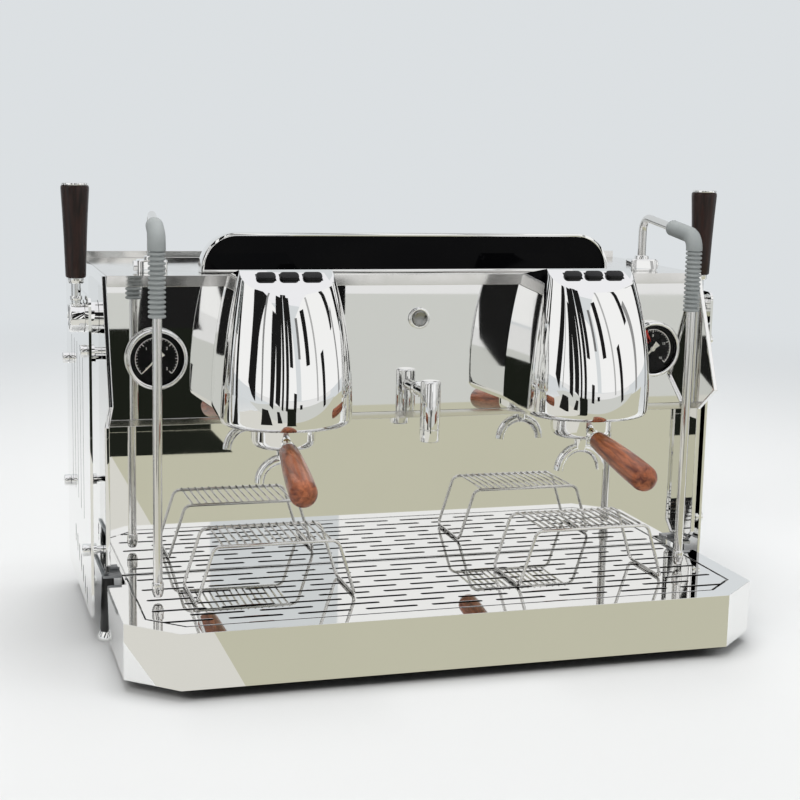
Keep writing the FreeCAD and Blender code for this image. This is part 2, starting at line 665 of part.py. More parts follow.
def base_frame():
    """The welded deck that carries everything, with two arms under the drip tray."""
    deck_front = lower_wall_rear + seam
    arm_top = basin_under - seam
    arm_low = arm_top - arm_height
    arm_tip = tray_front - tray_rim
    parts = [box("Deck", (-deck_half, deck_front, deck_level), (deck_half, rear_inner - seam, deck_top))]
    for side, word in ((LEFT, "Left"), (RIGHT, "Right")):
        inner = side * arm_place - arm_width / 2
        outer = side * arm_place + arm_width / 2
        rear = deck_front + arm_width
        parts.append(box(word + "Arm", (inner, -arm_tip, arm_low), (outer, rear, arm_top)))
        parts.append(box(word + "Drop", (inner, deck_front, arm_low), (outer, rear, deck_top)))
    left = box("LeftEar", (-deck_half, -deck_ear, deck_level), (-ear_inner, deck_front + seam, deck_top))
    right = box("RightEar", (ear_inner, -deck_ear, deck_level), (deck_half, deck_front + seam, deck_top))
    return fuse("BaseFrame", *(parts + [left, right]))


piece("base_frame", base_frame())


def frame_posts():
    """Four posts and the rails that join them under the top cover."""
    outer = cover_inner - seam
    inner = outer - post_width
    front = lower_wall_rear + seam
    rear = rear_inner - seam
    low = deck_top + seam
    high = top_under - seam
    parts = []
    for side, word in ((LEFT, "Left"), (RIGHT, "Right")):
        near_x = side * (outer + inner) / 2 - post_width / 2
        far_x = near_x + post_width
        parts.append(box(word + "FrontPost", (near_x, front, low), (far_x, front + post_width, high)))
        parts.append(box(word + "RearPost", (near_x, rear - post_width, low), (far_x, rear, high)))
        parts.append(box(word + "SideRail", (near_x, front, high - post_width), (far_x, rear, high)))
    parts.append(box("RearRail", (-outer, rear - post_width, high - post_width), (outer, rear, high)))
    return fuse("PostsAndRails", *parts)


def boiler_saddles():
    """Two upright plates on the deck, hollowed to carry the steam boiler."""
    seats = []
    low = deck_top + seam
    for side, word in ((LEFT, "Left"), (RIGHT, "Right")):
        x = side * saddle_x - deck_wall / 2
        corner = (x + deck_wall, boiler_y + saddle_half, boiler_level)
        seats.append(box(word + "Saddle", (x, boiler_y - saddle_half, low), corner))
    shell_start = (-boiler_half_length, boiler_y, boiler_level)
    hollow = rod("SaddleHollow", boiler_radius + seam, shell_start, boiler_half_length * 2, ALONG_X)
    return cut("Saddles", fuse("SaddlePlates", *seats), hollow)


piece("frame_posts", group("FramePosts", frame_posts(), boiler_saddles()))


def side_panel():
    """Left side panel, a pan folded from sheet with a nose over the gauges."""
    body = doc.addObject("PartDesign::Body", "SidePanel")
    high = top_level
    low = panel_foot_level
    corners = [
        (-panel_front, high),
        (-nose_reach, nose_level),
        (-notch_reach, notch_level),
        (-notch_reach, low + panel_foot_chamfer),
        (-notch_reach + panel_foot_chamfer, low),
        (body_rear, low),
        (body_rear, high),
    ]
    sketch = outline(sketch_on(body, "SidePanelOutline", "YZ_Plane", -body_half_width), corners)
    block = pad(body, "SidePanelPad", sketch, panel_depth)
    doc.recompute()
    open_side = [
        "Face" + str(n + 1)
        for n, face in enumerate(block.Shape.Faces)
        if near(face.CenterOfMass.x, -panel_inner.value)
    ]
    pan = body.newObject("PartDesign::Thickness", "SidePanelPan")
    pan.Base = (block, open_side)
    bind(pan, "Value", panel_wall)
    pan.Reversed = True
    pan.Join = "Intersection"
    hole = sketch_on(body, "SidePanelHole", "YZ_Plane", -body_half_width)
    ring(hole, lever_y, valve_level, valve_neck + seam)
    pocket(body, "SidePanelBoring", hole, panel_depth, backwards=True)
    return body


left_side = side_panel()
piece("side_panels", group("SidePanels", left_side, mirrored("RightSidePanel", left_side)))


standoff_spots = [
    (cap_front, cap_high),
    (cap_front, cap_low),
    (cap_rear, cap_rear_high),
    (cap_rear, cap_rear_low),
]


def side_trim():
    """Left outer trim, a grooved plate with a rising row of vent slots."""
    body = doc.addObject("PartDesign::Body", "SideTrim")
    rear = body_rear - trim_rear_inset
    corners = [(-trim_front, trim_low), (rear, trim_low), (rear, trim_high), (-trim_front, trim_high)]
    sketch = outline(sketch_on(body, "SideTrimOutline", "YZ_Plane", -trim_outer), corners)
    block = pad(body, "SideTrimPad", sketch, trim_wall)
    body_fillet(body, "SideTrimCorners", block, trim_corner, lambda edge: runs_along(edge, "x"))

    grooves = sketch_on(body, "SideTrimGrooves", "YZ_Plane", -trim_outer)
    for count in range(5):
        y = groove_first + groove_pitch * count
        low = groove_low + groove_step * count
        near_y = y - groove_width / 2
        far_y = y + groove_width / 2
        outline(grooves, [(near_y, low), (far_y, low), (far_y, groove_high), (near_y, groove_high)])
    pocket(body, "SideTrimGrooving", grooves, groove_depth, backwards=True)

    slots = sketch_on(body, "SideTrimSlots", "YZ_Plane", -trim_outer)
    for count in range(7):
        y = slot_first + slot_pitch * count
        low = slot_low + slot_rise * count - slot_length / 2
        high = low + slot_length
        near_y = y - slot_width / 2
        far_y = y + slot_width / 2
        tip = slot_width / 2
        foot = [(near_y, low), (y, low - tip), (far_y, low)]
        outline(slots, foot + [(far_y, high), (y, high + tip), (near_y, high)])
    pocket(body, "SideTrimVents", slots, trim_wall, backwards=True)

    holes = sketch_on(body, "SideTrimHoles", "YZ_Plane", -trim_outer)
    ring(holes, lever_y, valve_level, valve_collar + seam)
    for y, z in standoff_spots:
        ring(holes, y, z, standoff_radius + seam)
    pocket(body, "SideTrimBoring", holes, trim_wall, backwards=True)
    return body


left_trim = side_trim()
piece("side_trims", group("SideTrims", left_trim, mirrored("RightSideTrim", left_trim)))


def standoff(name, y, z):
    """A post through the trim, with a shoulder behind it and a round cap before it."""
    inner = body_half_width + seam
    shoulder = trim_inner - seam
    outer = trim_outer + seam + cap_height
    return fuse(
        name,
        rod(name + "Post", standoff_radius, (-outer, y, z), outer - inner, ALONG_X),
        rod(name + "Shoulder", cap_radius, (-shoulder, y, z), cap_height / 2, ALONG_X),
        rod(name + "Cap", cap_radius, (-outer, y, z), cap_height, ALONG_X),
    )


left_standoffs = [standoff("Standoff" + str(n + 1), y, z) for n, (y, z) in enumerate(standoff_spots)]
left_standoff_set = group("LeftStandoffs", *left_standoffs)
piece("standoffs", group("Standoffs", left_standoff_set, mirrored("RightStandoffs", left_standoff_set)))


def upper_back_panel():
    """Polished panel above the rail, with the openings that pieces pass through."""
    low = rail_high + seam
    high = top_level - band_height
    corners = [(-wall_half, low), (wall_half, low), (wall_half, high), (-wall_half, high)]
    body = plate("UpperBackPanel", "XZ_Plane", corners, -sheet_wall, sheet_wall)
    holes = sketch_on(body, "UpperBackHoles", "XZ_Plane", -sheet_wall)
    for side in (LEFT, RIGHT):
        ring(holes, side * gauge_x, gauge_level, gauge_case_radius + seam)
        ring(holes, side * group_x, neck_level, neck_radius + seam)
    ring(holes, button_x, button_level, button_radius + seam)
    ring(holes, water_x, water_arm_level, water_arm_radius + seam)
    pocket(body, "UpperBackBoring", holes, sheet_wall, backwards=True)
    return body


piece("upper_back_panel", upper_back_panel())


def lower_back_panel():
    """Polished panel behind the cups, narrower where it passes the ears of the deck."""
    foot = ear_inner - seam
    shoulder = panel_foot_level + panel_wall + seam
    high = rail_low - seam
    right = [(foot, lower_wall_foot), (foot, shoulder), (wall_half, shoulder), (wall_half, high)]
    left = [(-wall_half, high), (-wall_half, shoulder), (-foot, shoulder), (-foot, lower_wall_foot)]
    return plate("LowerBackPanel", "XZ_Plane", right + left, -lower_wall_rear, sheet_wall)


piece("lower_back_panel", lower_back_panel())

rail_start = (-wall_half, size(0), rail_low)
piece("back_rail", box("BackRail", rail_start, (wall_half, lower_wall_rear, rail_high)))


def top_cover():
    """Folded top with a front flange, a rail along its rear and holes for the wands."""
    front = -panel_front
    rear = rear_inner - seam
    rail_rear = rear - upstand_inset
    lid = box("TopPlate", (-cover_inner, front, top_under), (cover_inner, rear, top_level))
    flange_low = top_level - band_height + seam
    flange_high = (cover_inner, front + sheet_wall, top_level)
    flange = box("TopFlange", (-cover_inner, front, flange_low), flange_high)
    rail_low_corner = (-cover_inner, rail_rear - sheet_wall * 2, top_under)
    rail = box("TopRail", rail_low_corner, (cover_inner, rail_rear, top_level + upstand))
    holes = []
    for side, word in ((LEFT, "Left"), (RIGHT, "Right")):
        spot = (side * wand_x, wand_y, top_under)
        holes.append(rod(word + "WandHole", wand_radius + seam, spot, sheet_wall))
    return cut("TopCover", fuse("TopSheet", lid, flange, rail), *holes)


piece("top_cover", top_cover())


def hood_front_view(inset, foot):
    half = hood_half_width - inset
    low = top_level + seam + foot
    high = top_level + seam + hood_height - inset
    return [(-half, low), (half, low), (half, high), (-half, high)]


def upper_corner(edge):
    """True for the edges along Y at the top corners of the hood."""
    return runs_along(edge, "y") and edge.CenterOfMass.z > top_level.value + hood_height.value / 2


def hood_rim():
    """Chrome frame round the black face, open before and behind."""
    start = -hood_front - hood_depth
    body = plate("HoodRim", "XZ_Plane", hood_front_view(size(0), size(0)), start, hood_depth)
    body_fillet(body, "HoodRimCorners", body.Tip, hood_corner, upper_corner)
    inner = doc.addObject("PartDesign::Body", "HoodRimInside")
    sketch = outline(
        sketch_on(inner, "HoodInsideOutline", "XZ_Plane", start - seam),
        hood_front_view(hood_wall, hood_wall),
    )
    pad(inner, "HoodInsidePad", sketch, hood_depth + seam * 2)
    body_fillet(inner, "HoodInsideCorners", inner.Tip, hood_corner - hood_wall, upper_corner)
    return cut("HoodFrame", body, inner)


piece("hood_rim", hood_rim())


def hood_face():
    """Glossy black insert that fills the rim."""
    inset = hood_wall + seam
    start = -hood_front - hood_depth + seam
    depth = hood_depth - hood_recess - seam
    body = plate("HoodFace", "XZ_Plane", hood_front_view(inset, inset), start, depth)
    body_fillet(body, "HoodFaceCorners", body.Tip, hood_corner - inset, upper_corner)
    return body


piece("hood_face", hood_face())


def rear_cover():
    """Rear panel with two banks of vents and the openings for the fittings."""
    low = deck_top + seam
    high = top_under - seam
    corners = [(-cover_inner, low), (cover_inner, low), (cover_inner, high), (-cover_inner, high)]
    body = plate("RearCover", "XZ_Plane", corners, -body_rear, sheet_wall)
    vents = sketch_on(body, "RearVents", "XZ_Plane", -body_rear)
    for side in (LEFT, RIGHT):
        for count in range(7):
            left = side * body_half_width / 2 - vent_length / 2
            foot = vent_low + vent_pitch * count
            right = left + vent_length
            head = foot + vent_width
            outline(vents, [(left, foot), (right, foot), (right, head), (left, head)])
    pocket(body, "RearVenting", vents, sheet_wall, backwards=True)
    holes = sketch_on(body, "RearHoles", "XZ_Plane", -body_rear)
    ring(holes, inlet_x, inlet_level, inlet_radius + seam)
    ring(holes, gland_x, inlet_level, gland_radius + seam)
    pocket(body, "RearBoring", holes, sheet_wall, backwards=True)
    return body


piece("rear_cover", rear_cover())


def tray_corners(inset, rear):
    """Plan of the tray, its front corners cut off, moved inwards by an inset."""
    half = tray_half_width - inset
    front = -tray_front + inset
    turn_x = tray_half_width - tray_corner_run - inset * half_turn(tray_corner_depth, tray_corner_run)
    turn_y = -tray_front + tray_corner_depth + inset * half_turn(tray_corner_run, tray_corner_depth)
    right = [(turn_x, front), (half, turn_y), (half, rear)]
    left = [(-half, rear), (-half, turn_y), (-turn_x, front)]
    return right + left


def tongue_corners(inset):
    """Plan of the tray's narrow rear part between the feet."""
    half = tray_tongue - inset
    front = -tray_side_end - tray_rim
    rear = tray_end - inset
    return [(-half, front), (half, front), (half, rear), (-half, rear)]


def drip_tray():
    """Polished skirt, rim, ledge and basin, folded as one tray."""
    body = doc.addObject("PartDesign::Body", "DripTray")
    none = size(0)
    pan_rear = tray_end - sheet_wall
    skirt = sketch_on(body, "TraySkirt", "XY_Plane", tray_low)
    pad(body, "TraySkirtPad", outline(skirt, tray_corners(none, -tray_side_end)), tray_high - tray_low)
    tongue = sketch_on(body, "TrayTongue", "XY_Plane", tray_low)
    pad(body, "TrayTonguePad", outline(tongue, tongue_corners(none)), tray_high - tray_low)

    seat = sketch_on(body, "TraySeat", "XY_Plane", tray_high)
    outline(seat, tray_corners(tray_rim, pan_rear))
    pocket(body, "TraySeatPocket", seat, grate_wall + seam)
    basin = sketch_on(body, "TrayBasin", "XY_Plane", tray_high)
    outline(basin, tray_corners(tray_rim + tray_ledge, pan_rear - tray_ledge))
    pocket(body, "TrayBasinPocket", basin, tray_high - basin_floor)

    under = sketch_on(body, "TrayUnder", "XY_Plane", tray_low)
    outline(under, tray_corners(sheet_wall, -tray_side_end - sheet_wall))
    pocket(body, "TrayUnderPocket", under, basin_under - tray_low, backwards=True)
    tail = sketch_on(body, "TrayTail", "XY_Plane", tray_low)
    front_left, front_right, rear_right, rear_left = tongue_corners(sheet_wall)
    open_right = (rear_right[0], rear_right[1] + sheet_wall * 2)
    open_left = (rear_left[0], rear_left[1] + sheet_wall * 2)
    outline(tail, [front_left, front_right, open_right, open_left])
    pocket(body, "TrayTailPocket", tail, basin_under - tray_low, backwards=True)

    fold = sketch_on(body, "TrayFold", "XY_Plane", tray_low)
    outline(fold, tray_corners(sheet_wall, -tray_side_end - sheet_wall))
    wall_inset = tray_rim + tray_ledge - sheet_wall
    outline(fold, tray_corners(wall_inset, -tray_side_end - sheet_wall * 3))
    ledge_under = tray_high - grate_wall - seam - sheet_wall
    pocket(body, "TrayFoldPocket", fold, ledge_under - tray_low, backwards=True)
    drain = ring(sketch_on(body, "TrayDrain", "XY_Plane", basin_floor), size(0), -drain_y, drain_radius)
    pocket(body, "TrayDrainHole", drain, sheet_wall)
    return body


piece("drip_tray", drip_tray())


def drip_grate():
    """Polished plate with staggered rows of slots."""
    rear = tray_end - sheet_wall - grate_gap / 2
    corners = tray_corners(tray_rim + grate_gap, rear)
    body = plate("DripGrate", "XY_Plane", corners, tray_high - grate_wall, grate_wall)
    first = -tray_front + tray_rim + grate_gap + grate_margin
    span = rear - grate_margin / 2 - first
    row_pitch = span / (grate_rows - 1)
    reach = tray_half_width - tray_rim - grate_gap - grate_margin * 2
    slot_pitch_x = (reach * 2 - grate_slot_length) / (grate_slots - 1)
    rows = int(grate_rows.value)
    slots = int(grate_slots.value)
    for row in range(2):
        sketch = sketch_on(body, "GrateRow" + str(row + 1), "XY_Plane", tray_high)
        near_y = first + row_pitch * row - grate_slot_width / 2
        far_y = near_y + grate_slot_width
        for slot in range(slots - row):
            left = slot_pitch_x * (slot + row / 2) - reach
            right = left + grate_slot_length
            outline(sketch, [(left, near_y), (right, near_y), (right, far_y), (left, far_y)])
        slotting = pocket(body, "GrateSlots" + str(row + 1), sketch, grate_wall)
        doc.recompute()
        pattern = body.newObject("PartDesign::LinearPattern", "GratePattern" + str(row + 1))
        pattern.Originals = [slotting]
        pattern.Direction = (sketch, ["V_Axis"])
        pattern.Occurrences = (rows + 1 - row) // 2
        bind(pattern, "Length", row_pitch * 2 * ((rows + 1 - row) // 2 - 1))
        body.Tip = pattern
        doc.recompute()
    return body


piece("drip_grate", drip_grate())


def drain_cup():
    """Cup under the basin's drain, hung from the deck, with a barb for a hose."""
    high = basin_under - seam
    low = high - drain_cup_height
    rear = lower_wall_rear + seam + drain_cup_half
    front = -drain_y - drain_cup_half
    wall = panel_wall
    outer = box("DrainCupBlock", (-drain_cup_half, front, low), (drain_cup_half, rear, high))
    inner_low = (-drain_cup_half + wall, front + wall, low + wall)
    inner = box("DrainCupInside", inner_low, (drain_cup_half - wall, rear - wall, high))
    hanger_low = (-drain_cup_half, rear - wall, high - wall)
    hanger = box("DrainHanger", hanger_low, (drain_cup_half, rear, deck_level - seam))
    barb_level = low + drain_cup_height / 2
    barb = rod("DrainBarb", barb_radius, (size(0), rear - wall, barb_level), barb_length + wall, ALONG_Y)
    bore_start = (size(0), rear - wall * 2, barb_level)
    bore = rod("DrainBore", barb_radius - wall, bore_start, barb_length + wall * 2, ALONG_Y)
    return cut("DrainCup", fuse("DrainCupWalls", cut("DrainCupShell", outer, inner), hanger, barb), bore)


piece("drain_cup", drain_cup())


def feet():
    """Four tapered feet, each in a chrome cup."""
    cones = []
    cups = []
    for side, word in ((LEFT, "Left"), (RIGHT, "Right")):
        for back, spot in (("Front", foot_front), ("Rear", foot_rear)):
            name = word + back
            x = side * foot_x
            start = foot_cup_height + seam
            length = deck_level - seam - start
            cones.append(cone(name + "Foot", foot_low_radius, foot_top_radius, (x, spot, start), length))
            plinth = rod(name + "Plinth", foot_cup_radius, (x, spot, size(0)), foot_cup_height / 2)
            taper_start = (x, spot, foot_cup_height / 2)
            lip_radius = foot_low_radius + seam
            lip = cone(name + "Lip", foot_cup_radius, lip_radius, taper_start, foot_cup_height / 2)
            cups.append(fuse(name + "Cup", plinth, lip))
    return group("FootCones", *cones), group("FootCups", *cups)


foot_cones, foot_cups = feet()
piece("foot_cones", foot_cones)
piece("foot_cups", foot_cups)


cover_slope = sine(cover_tilt) / cosine(cover_tilt)


def cover_plan(sketch, half, front, nose, corner):
    """Plan of a group cover: a broad nose, two corner arcs and sides that close in."""
    middle = nose - front
    inner = half - corner
    drop = chord(nose - corner, inner)
    side_y = middle - drop
    touch_x = inner * nose / (nose - corner)
    touch_y = middle - drop * nose / (nose - corner)
    rear_half = half - cover_close
    spots = [(-touch_x, touch_y), (touch_x, touch_y), (half, side_y), (rear_half, hood_front)]
    spots += [(-rear_half, hood_front), (-half, side_y)]
    flat = [FreeCAD.Vector(x.value, y.value, 0) for x, y in spots]
    up = FreeCAD.Vector(0, 0, 1)
    lean = math.atan2(drop.value, inner.value)
    full = math.pi * 2
    front_arc = Part.Circle(FreeCAD.Vector(0, middle.value, 0), up, nose.value)
    right_arc = Part.Circle(FreeCAD.Vector(inner.value, side_y.value, 0), up, corner.value)
    left_arc = Part.Circle(FreeCAD.Vector(-inner.value, side_y.value, 0), up, corner.value)
    sketch.addGeometry(Part.ArcOfCircle(front_arc, math.pi + lean, full - lean), False)
    sketch.addGeometry(Part.ArcOfCircle(right_arc, full - lean, full), False)
    for start in (2, 3, 4):
        sketch.addGeometry(Part.LineSegment(flat[start], flat[start + 1]), False)
    sketch.addGeometry(Part.ArcOfCircle(left_arc, math.pi, math.pi + lean), False)
    for edge in range(6):
        sketch.addConstraint(Sketcher.Constraint("Coincident", edge, 2, (edge + 1) % 6, 1))
        hold(sketch, "DistanceX", edge, 1, spots[edge][0])
        hold(sketch, "DistanceY", edge, 1, spots[edge][1])
    hold(sketch, "DistanceY", 0, 3, middle)
    hold(sketch, "DistanceY", 1, 3, side_y)
    hold(sketch, "DistanceY", 5, 3, side_y)
    return sketch


def cover_block(name, inset):
    """Tapered block under a sloping key facet: a cover's skin or, inset, its hollow."""
    body = doc.addObject("PartDesign::Body", name)
    sections = [
        (cover_low, cover_low_half, cover_low_front, cover_low_nose, cover_low_corner),
        (cover_mid, cover_mid_half, cover_mid_front, cover_mid_nose, cover_mid_corner),
        (cover_top, cover_top_half, cover_top_front, cover_top_nose, cover_top_corner),
    ]
    plans = []
    for count, (level, half, front, nose, corner) in enumerate(sections):
        plan = sketch_on(body, name + "Plan" + str(count + 1), "XY_Plane", level)
        plans.append(cover_plan(plan, half - inset, front - inset, nose - inset, corner - inset))
    skin = body.newObject("PartDesign::AdditiveLoft", name + "Loft")
    skin.Profile = plans[0]
    skin.Sections = plans[1:]
    ridge = cover_crown - inset / cosine(cover_tilt)
    brow = ridge - (cover_low_front - cover_crest) * cover_slope
    eave = top_level + seam - inset
    behind = hood_front + cover_wall
    over = cover_top + cover_wall
    roof = [(-cover_low_front, brow), (-cover_crest, ridge), (-panel_front - seam, eave)]
    roof += [(behind, eave), (behind, over), (-cover_low_front, over)]
    above = outline(sketch_on(body, name + "Roof", "YZ_Plane"), roof)
    pocket(body, name + "RoofCut", above, cover_low_half * 3, both_ways=True)
    return body


def on_facet(item, x):
    """Put a piece on the key facet, square to its slope."""
    level = cover_crown - (key_place - cover_crest) * cover_slope
    place(item, x, -key_place, level, FreeCAD.Rotation(FreeCAD.Vector(1, 0, 0), cover_tilt.value))
    bind(item, ".Placement.Rotation.Angle", cover_tilt)
    return item


def at_brow(edge):
    """True for the edges of the facet round the nose, from one end of the crest to the other."""
    crest = cover_crest.value
    slope = cover_slope.value
    for end in edge.Vertexes:
        if not near(end.Point.z, cover_crown.value + (end.Point.y + crest) * slope, 0.05):
            return False
    return edge.BoundBox.YLength > 0.1 and edge.BoundBox.YMax < 1 - crest


def group_cover():
    """Tapered chrome shell for one group, open behind, with openings for its keys."""
    name = "Cover"
    body = cover_block(name, size(0))
    behind = hood_front + cover_wall
    under = cover_low - cover_wall
    flange = top_level - band_height - seam
    step = -panel_front - seam
    back = [(-seam, under), (behind, under), (behind, cover_top)]
    back += [(step, cover_top), (step, flange), (-seam, flange)]
    wall = outline(sketch_on(body, name + "Back", "YZ_Plane"), back)
    trimmed = pocket(body, name + "BackCut", wall, cover_low_half * 3, both_ways=True)
    at_foot = lambda edge: near(edge.BoundBox.ZMax, cover_low.value) and edge.BoundBox.YMin < -1
    rounded = body_fillet(body, name + "Round", trimmed, cover_round, at_foot)
    body_fillet(body, name + "Brow", rounded, cover_edge, at_brow)

    hollow = cover_block("CoverHollow", cover_wall)
    low = cover_low + cover_base
    foot = [(-cover_low_front, under), (behind, under), (behind, low), (-cover_low_front, low)]
    floor = outline(sketch_on(hollow, "CoverFloor", "YZ_Plane"), foot)
    pocket(hollow, "CoverFloorCut", floor, cover_low_half * 3, both_ways=True)
    mouth_start = (size(0), -group_y, under)
    mouth = rod("CoverMouth", ring_radius + seam, mouth_start, cover_base + cover_wall * 2)
    openings = []
    for count in range(3):
        near_x = key_shift + key_pitch * (count - 1) - key_width / 2 - key_play
        far_x = near_x + key_width + key_play * 2
        half_y = key_depth / 2 + key_play
        low_corner = (near_x, -half_y, -cover_wall * 2)
        openings.append(box("KeyOpening" + str(count + 1), low_corner, (far_x, half_y, cover_wall)))
    key_holes = on_facet(group("KeyOpenings", *openings), 0)
    return cut("CoverShell", body, hollow, mouth, key_holes)


cover = group_cover()
left_cover = place(group("LeftCover", cover), -group_x, 0, 0)
right_cover = place(group("RightCover", cover), group_x, 0, 0)
piece("group_covers", group("GroupCovers", left_cover, right_cover))


def key(side, word, place_word, step):
    """One brew key with its stem through the facet, set square to the slope."""
    body = doc.addObject("PartDesign::Body", word + place_word + "Key")
    name = word + place_word
    half_x = key_width / 2
    half_y = key_depth / 2
    corners = [(-half_x, -half_y), (half_x, -half_y), (half_x, half_y), (-half_x, half_y)]
    plan = outline(sketch_on(body, name + "KeyPlan", "XY_Plane", -key_stem), corners)
    block = pad(body, name + "KeyPad", plan, key_stem + key_rise)
    upright = body_fillet(body, name + "KeyEnds", block, key_depth / 2.5, lambda edge: runs_along(edge, "z"))
    top = key_rise
    at_top = lambda edge: near(edge.BoundBox.ZMin, top.value) and near(edge.BoundBox.ZMax, top.value)
    body_fillet(body, name + "KeyTop", upright, key_depth / 12, at_top)
    return on_facet(body, side * group_x + key_shift + key_pitch * step)


for side, word in ((LEFT, "Left"), (RIGHT, "Right")):
    for place_word, step in (("First", -1), ("Second", 0), ("Third", 1)):
        node = word.lower() + "_" + place_word.lower() + "_key"
        piece(node, key(side, word, place_word, step))


lug_top = rim_top - lug_drop
lug_low = lug_top - lug_height
gasket_low = rim_top + basket_wall + seam
lug_radius = rim_radius + lug_reach


def group_head(side, word, lock):
    """Group head: bayonet ring, gasket seat and the neck to its boiler."""
    bore = rim_radius + seam * 2
    groove = lug_radius + seam * 2
    gasket_top = gasket_low + gasket_height + seam
    profile = [
        (bore, ring_low),
        (ring_radius, ring_low),
        (ring_radius, gasket_top + cover_wall),
        (head_radius, gasket_top + cover_wall * 4),
        (head_radius, head_top - cover_wall * 2),
        (head_radius - cover_wall * 2, head_top),
        (size(0), head_top),
        (size(0), gasket_top),
        (bore, gasket_top),
        (bore, gasket_low),
        (groove, gasket_low - seam),
        (groove, lug_low - seam),
        (bore, lug_low - seam),
    ]
    head = turned(word + "Head", profile)
    neck_start = (size(0), head_radius / 2, neck_level)
    neck_length = group_y + brew_y - brew_radius - head_radius / 2 - seam
    neck = rod(word + "Neck", neck_radius, neck_start, neck_length, ALONG_Y)
    half = lug_width / 2 + seam * 4
    entry_low = (-groove, -half, ring_low)
    entry = box(word + "Entry", entry_low, (groove, half, lug_low))
    turn_angle = lock - lock_turn
    entry_turned = turn_about(group(word + "EntryTurned", entry), (0, 0, 1), turn_angle)
    entry_bore = rod(word + "EntryBore", groove, (size(0), size(0), ring_low), lug_low - ring_low)
    gates = doc.addObject("Part::MultiCommon", word + "Gates")
    gates.Shapes = [entry_turned, entry_bore]
    whole = cut(word + "GroupHead", fuse(word + "HeadAndNeck", head, neck), gates)
    return place(whole, side * group_x, -group_y, 0)


heads = [group_head(LEFT, "Left", left_lock), group_head(RIGHT, "Right", right_lock)]
piece("group_heads", group("GroupHeads", *heads))


def gasket(side, word):
    """Rubber ring that the filter's rim presses against."""
    outer = rim_radius
    low = gasket_low
    high = gasket_low + gasket_height
    profile = [(gasket_bore, low), (outer, low), (outer, high), (gasket_bore, high)]
    return turned(word + "Gasket", profile, (side * group_x, -group_y, 0))


def shower_screen(side, word):
    """Domed steel screen inside the gasket, on its own spacer."""
    outer = gasket_bore - seam
    low = gasket_low
    high = gasket_low + gasket_height
    lip = outer - cover_wall
    profile = [
        (size(0), low),
        (lip, low),
        (outer, low + basket_wall * 2),
        (outer, high),
        (outer - basket_wall, high),
        (outer - basket_wall, low + basket_wall * 3),
        (lip, low + basket_wall * 2),
        (size(0), low + basket_wall),
    ]
    return turned(word + "Screen", profile, (side * group_x, -group_y, 0))


piece("group_gaskets", group("GroupGaskets", gasket(LEFT, "Left"), gasket(RIGHT, "Right")))
piece("shower_screens", group("ShowerScreens", shower_screen(LEFT, "Left"), shower_screen(RIGHT, "Right")))


def portafilter(side, word, lock):
    """Bowl with its lugs, double spout, neck and ferrule."""
    bore = rim_radius - filter_wall
    floor = filter_low + filter_wall
    profile = [
        (size(0), filter_low),
        (rim_radius - filter_wall * 2, filter_low),
        (rim_radius - filter_wall / 2, filter_low + filter_wall / 2),
        (rim_radius, filter_low + filter_wall * 1.5),
        (rim_radius, rim_top),
        (bore, rim_top),
        (bore, floor + filter_wall),
        (bore - filter_wall, floor),
        (size(0), floor),
    ]
    bowl = turned(word + "Bowl", profile)
    lugs_block = box(
        word + "LugBlock",
        (-lug_radius, -lug_width / 2, lug_low),
        (lug_radius, lug_width / 2, lug_top),
    )
    lug_disc = rod(word + "LugDisc", lug_radius, (size(0), size(0), lug_low), lug_height)
    lug_core = rod(word + "LugCore", rim_radius - filter_wall / 2, (size(0), size(0), lug_low), lug_height)
    lugs = doc.addObject("Part::MultiCommon", word + "LugRound")
    lugs.Shapes = [lugs_block, lug_disc]
    both_lugs = cut(word + "Lugs", lugs, lug_core)

    slope = FreeCAD.Rotation(FreeCAD.Vector(1, 0, 0), 90 + handle_tilt.value)
    start = rim_radius - filter_wall / 2
    back = handle_start - start
    rise = back * sine(handle_tilt) / cosine(handle_tilt)
    neck_spot = (size(0), -start, handle_level + rise)
    neck = rod(word + "NeckRod", neck_rod, neck_spot, handle_start - start, slope)
    bind(neck, ".Placement.Rotation.Angle", handle_tilt + 90)
    ferrule_back = ferrule_length * cosine(handle_tilt)
    ferrule_rise = ferrule_length * sine(handle_tilt)
    ferrule_spot = (size(0), ferrule_back - handle_start + seam, handle_level + ferrule_rise)
    ferrule = cone(
        word + "Ferrule", neck_rod + basket_wall, handle_thin, ferrule_spot, ferrule_length, slope
    )
    bind(ferrule, ".Placement.Rotation.Angle", handle_tilt + 90)

    hoop = doc.addObject("Part::Torus", word + "Hoop")
    bind(hoop, "Radius1", spout_reach)
    bind(hoop, "Radius2", spout_radius)
    hoop.Angle3 = 180
    place(hoop, 0, 0, spout_tip, FreeCAD.Rotation(FreeCAD.Vector(1, 0, 0), 90))
    hoop_bore = doc.addObject("Part::Torus", word + "HoopBore")
    bind(hoop_bore, "Radius1", spout_reach)
    bind(hoop_bore, "Radius2", spout_bore)
    hoop_bore.Angle3 = 180
    place(hoop_bore, 0, 0, spout_tip, FreeCAD.Rotation(FreeCAD.Vector(1, 0, 0), 90))
    crest = spout_tip + spout_reach
    stem_foot = (size(0), size(0), crest)
    stem = rod(word + "SpoutStem", neck_rod + basket_wall, stem_foot, filter_low - crest + seam)
    stem_bore = rod(word + "SpoutStemBore", spout_bore, stem_foot, floor - crest)
    solid = fuse(word + "FilterMetal", bowl, both_lugs, neck, ferrule, hoop, stem)
    whole = cut(word + "Portafilter", solid, hoop_bore, stem_bore)
    return turn_about(place(whole, side * group_x, -group_y, 0), (0, 0, 1), lock)


